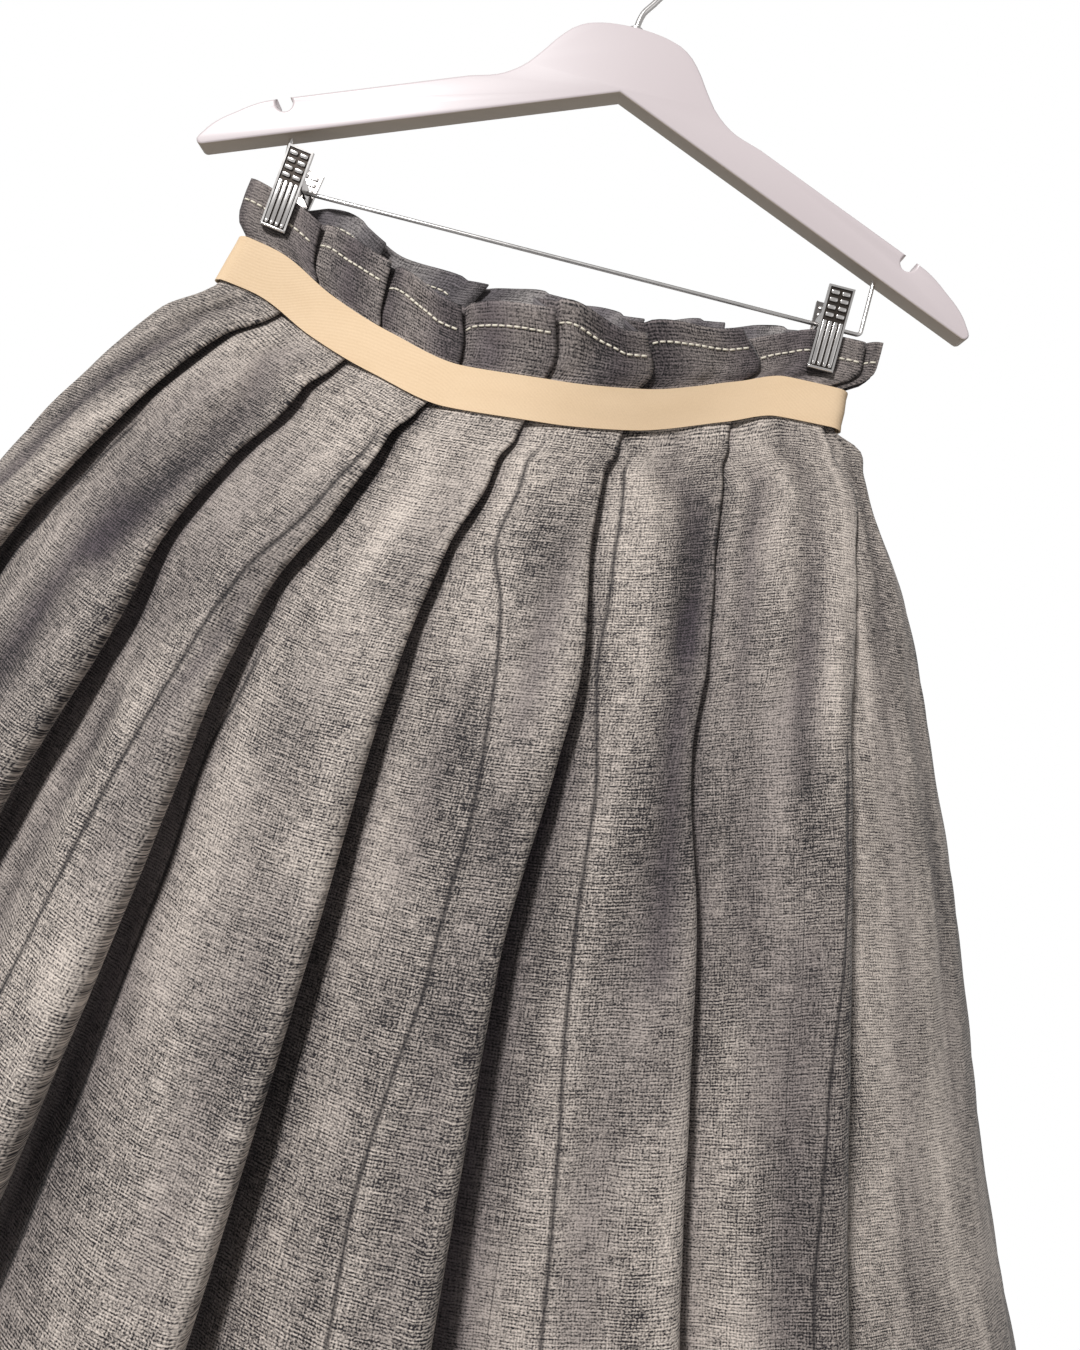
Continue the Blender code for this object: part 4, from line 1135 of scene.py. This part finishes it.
clip = {
    "places": [("left", -0.1632, 8), ("right", 0.1452, 0)],
    "width": 0.0145, "above": 0.0182, "below": 0.0275, "topOut": 0.0142, "jawOut": 0.0092,
    "plate": 0.0009, "frame": 0.0011, "recess": 0.0007,
    "ribs": 4, "ribWide": 0.0023, "ribTop": -0.0010,
    "bumpRows": 4, "bumpWide": 0.0048, "bumpTall": 0.0023,
}


def capsule(size, place):
    # a long rounded bead, from a cube with its edges bevelled
    startPiece()
    bpy.ops.mesh.primitive_cube_add(size=1, location=place)
    bead = bpy.context.object
    bead.scale = size
    bpy.ops.object.transform_apply(location=False, rotation=False, scale=True)
    bpy.ops.object.mode_set(mode="EDIT")
    bpy.ops.mesh.select_all(action="SELECT")
    bpy.ops.mesh.bevel(offset=min(size) * 0.46, segments=3, affect="EDGES", clamp_overlap=True)
    bpy.ops.object.mode_set(mode="OBJECT")
    return bead


def makePlate(label, out, lean, facing):
    # the pressed outer face of a lever, worked upright at the bar and then leaned to its place
    c = clip
    tall = c["above"] + c["below"]
    startPiece()
    middle = (c["above"] - c["below"]) / 2
    bpy.ops.mesh.primitive_cube_add(size=1, location=(0, -c["plate"] / 2, middle))
    plate = bpy.context.object
    plate.scale = (c["width"], c["plate"], tall)
    bpy.ops.object.transform_apply(location=True, rotation=False, scale=True)
    selectFaces(plate, lambda face: face.normal.y < -0.9)
    bpy.ops.mesh.inset(thickness=c["frame"], depth=0)
    bpy.ops.mesh.extrude_region_move(TRANSFORM_OT_translate={"value": (0, c["recess"], 0)})
    bpy.ops.object.mode_set(mode="OBJECT")
    for material in (chrome, chromeShadedRecess, chromeShadedSide):
        plate.data.materials.append(material)
    # painted shade: the recess and the sides take the darker chrome
    for face in plate.data.polygons:
        deep = face.center.y > -c["plate"] + c["recess"] * 0.4 and face.normal.y < -0.9
        side = abs(face.normal.x) > 0.5 or abs(face.normal.z) > 0.5
        face.material_index = 1 if deep else 2 if side else 0
    beads = []
    inside = c["width"] - 2 * c["frame"]
    pitch = inside / c["ribs"]
    for i in range(c["ribs"]):
        x = (i - (c["ribs"] - 1) / 2) * pitch
        bottom, top = -c["below"] + 0.0032, c["ribTop"]
        beads.append(capsule((c["ribWide"], 0.0010, top - bottom),
                             (x, -c["plate"] + 0.0002, (top + bottom) / 2)))
        beads.append(capsule((0.0021, 0.0014, 0.0021), (x, -c["plate"] + 0.0001, bottom - 0.0002)))
    for row in range(c["bumpRows"]):
        for side in (-1, 1):
            z = c["ribTop"] + 0.0032 + row * 0.0041
            x = side * 0.0030
            beads.append(capsule((c["bumpWide"], 0.0015, c["bumpTall"]),
                                 (x, -c["plate"] + 0.0002, z)))
            if facing:
                beads.append(capsule((c["bumpWide"], 0.0012, c["bumpTall"]), (x, 0.0009, z)))
    # the bright bottom lip, curled outwards a little
    beads.append(capsule((c["width"], 0.0016, 0.0016),
                         (0, -c["plate"] * 0.7, -c["below"] + 0.0008)))
    startPiece()
    for bead in beads:
        bead.data.materials.append(chrome)
        bead.select_set(True)
    plate.select_set(True)
    bpy.context.view_layer.objects.active = plate
    bpy.ops.object.join()
    tilt = math.atan2(c["topOut"] - c["jawOut"], tall)
    outHere = c["jawOut"] + (c["topOut"] - c["jawOut"]) * c["below"] / tall
    place = Matrix.Translation((out, 0, wires["barLevel"]))
    turned = place @ Matrix.Rotation(math.radians(lean), 4, "Y") @ Matrix.Rotation(facing, 4, "Z")
    turned = turned @ Matrix.Translation((0, -outHere, 0))
    plate.matrix_world = turned @ Matrix.Rotation(tilt, 4, "X")
    plate = settle(plate, label, 50)
    dress(plate, chrome, "chrome")


def makeSpring(label, node, out):
    # the coil round the bar
    turns, steps, radius, wire = 5, 16, 0.0023, 0.0009
    route = []
    for i in range(turns * steps + 1):
        turn = 2 * math.pi * i / steps
        x = out + (i / (turns * steps) - 0.5) * 0.0068
        route.append((x, radius * math.cos(turn), wires["barLevel"] + radius * math.sin(turn)))
    coil = makeWire(label, route, wire)
    dress(coil, chrome, "chrome", node)


for side, out, lean in clip["places"]:
    makePlate(f"clip{side.title()}FrontPlate", out, lean, 0)
    makePlate(f"clip{side.title()}BackPlate", out, lean, math.pi)
    makeSpring(f"clip{side.title()}Coil", f"clip_{side}_spring", out)
    # painted shade: the levers take the darker chrome
    for end in ("front", "back"):
        lever = bpy.data.objects[f"clip_{side}_{end}_lever"]
        lever.data.materials.clear()
        lever.data.materials.append(chromeShadedSide)
print("hanger made")


# Floor and light
studio = {"floorLevel": -1.75, "floorSize": 2.3, "backdrop": 1.0, "around": 0.17,
          "mirrored": 0.30, "key": 122, "fill": 1.8, "behind": 3.0, "aim": (0.0, 0.0, -0.45)}
startPiece()
bpy.ops.mesh.primitive_plane_add(size=studio["floorSize"], location=(0, 0, studio["floorLevel"]))
floor = bpy.context.object
floor.name = "floor"
floorMaterial, floorShader, floorStart = newMaterial("floor", 0.8)
floorTone = floorStart.noise(floorStart.objectPlace(), (3, 3, 3))
feed(floorTone.tint((0.84, 0.84, 0.85, 1), (0.88, 0.88, 0.88, 1)), floorShader, "Base Color")
floor.data.materials.append(floorMaterial)

world = bpy.data.worlds.new("studio")
world.use_nodes = True
background = world.node_tree.nodes["Background"]
background.inputs["Color"].default_value = (1, 1, 1, 1)
surround = Wired(world.node_tree)
seen = surround.node("ShaderNodeLightPath")
mirrored = seen.other("Is Glossy Ray")
bright = surround.sum("MAXIMUM", seen, mirrored * studio["mirrored"])
strength = studio["around"] + (studio["backdrop"] - studio["around"]) * bright
world.node_tree.links.new(strength.socket, background.inputs["Strength"])
bpy.context.scene.world = world
bpy.context.scene.view_settings.view_transform = "Standard"


def areaLight(name, place, size, power):
    data = bpy.data.lights.new(name, "AREA")
    data.shape = "DISK"
    data.size = size
    data.energy = power
    light = bpy.data.objects.new(name, data)
    light.location = place
    ahead = Vector(studio["aim"]) - Vector(place)
    light.rotation_euler = ahead.to_track_quat("-Z", "Y").to_euler()
    bpy.context.scene.collection.objects.link(light)


areaLight("key", (-1.40, -2.8, 1.45), 0.50, studio["key"])
areaLight("fill", (1.2, -1.3, -0.2), 1.2, studio["fill"])
areaLight("behind", (0.3, 1.4, 0.4), 1.0, studio["behind"])
print("studio made")

for piece in bpy.context.selected_objects:
    piece.select_set(False)
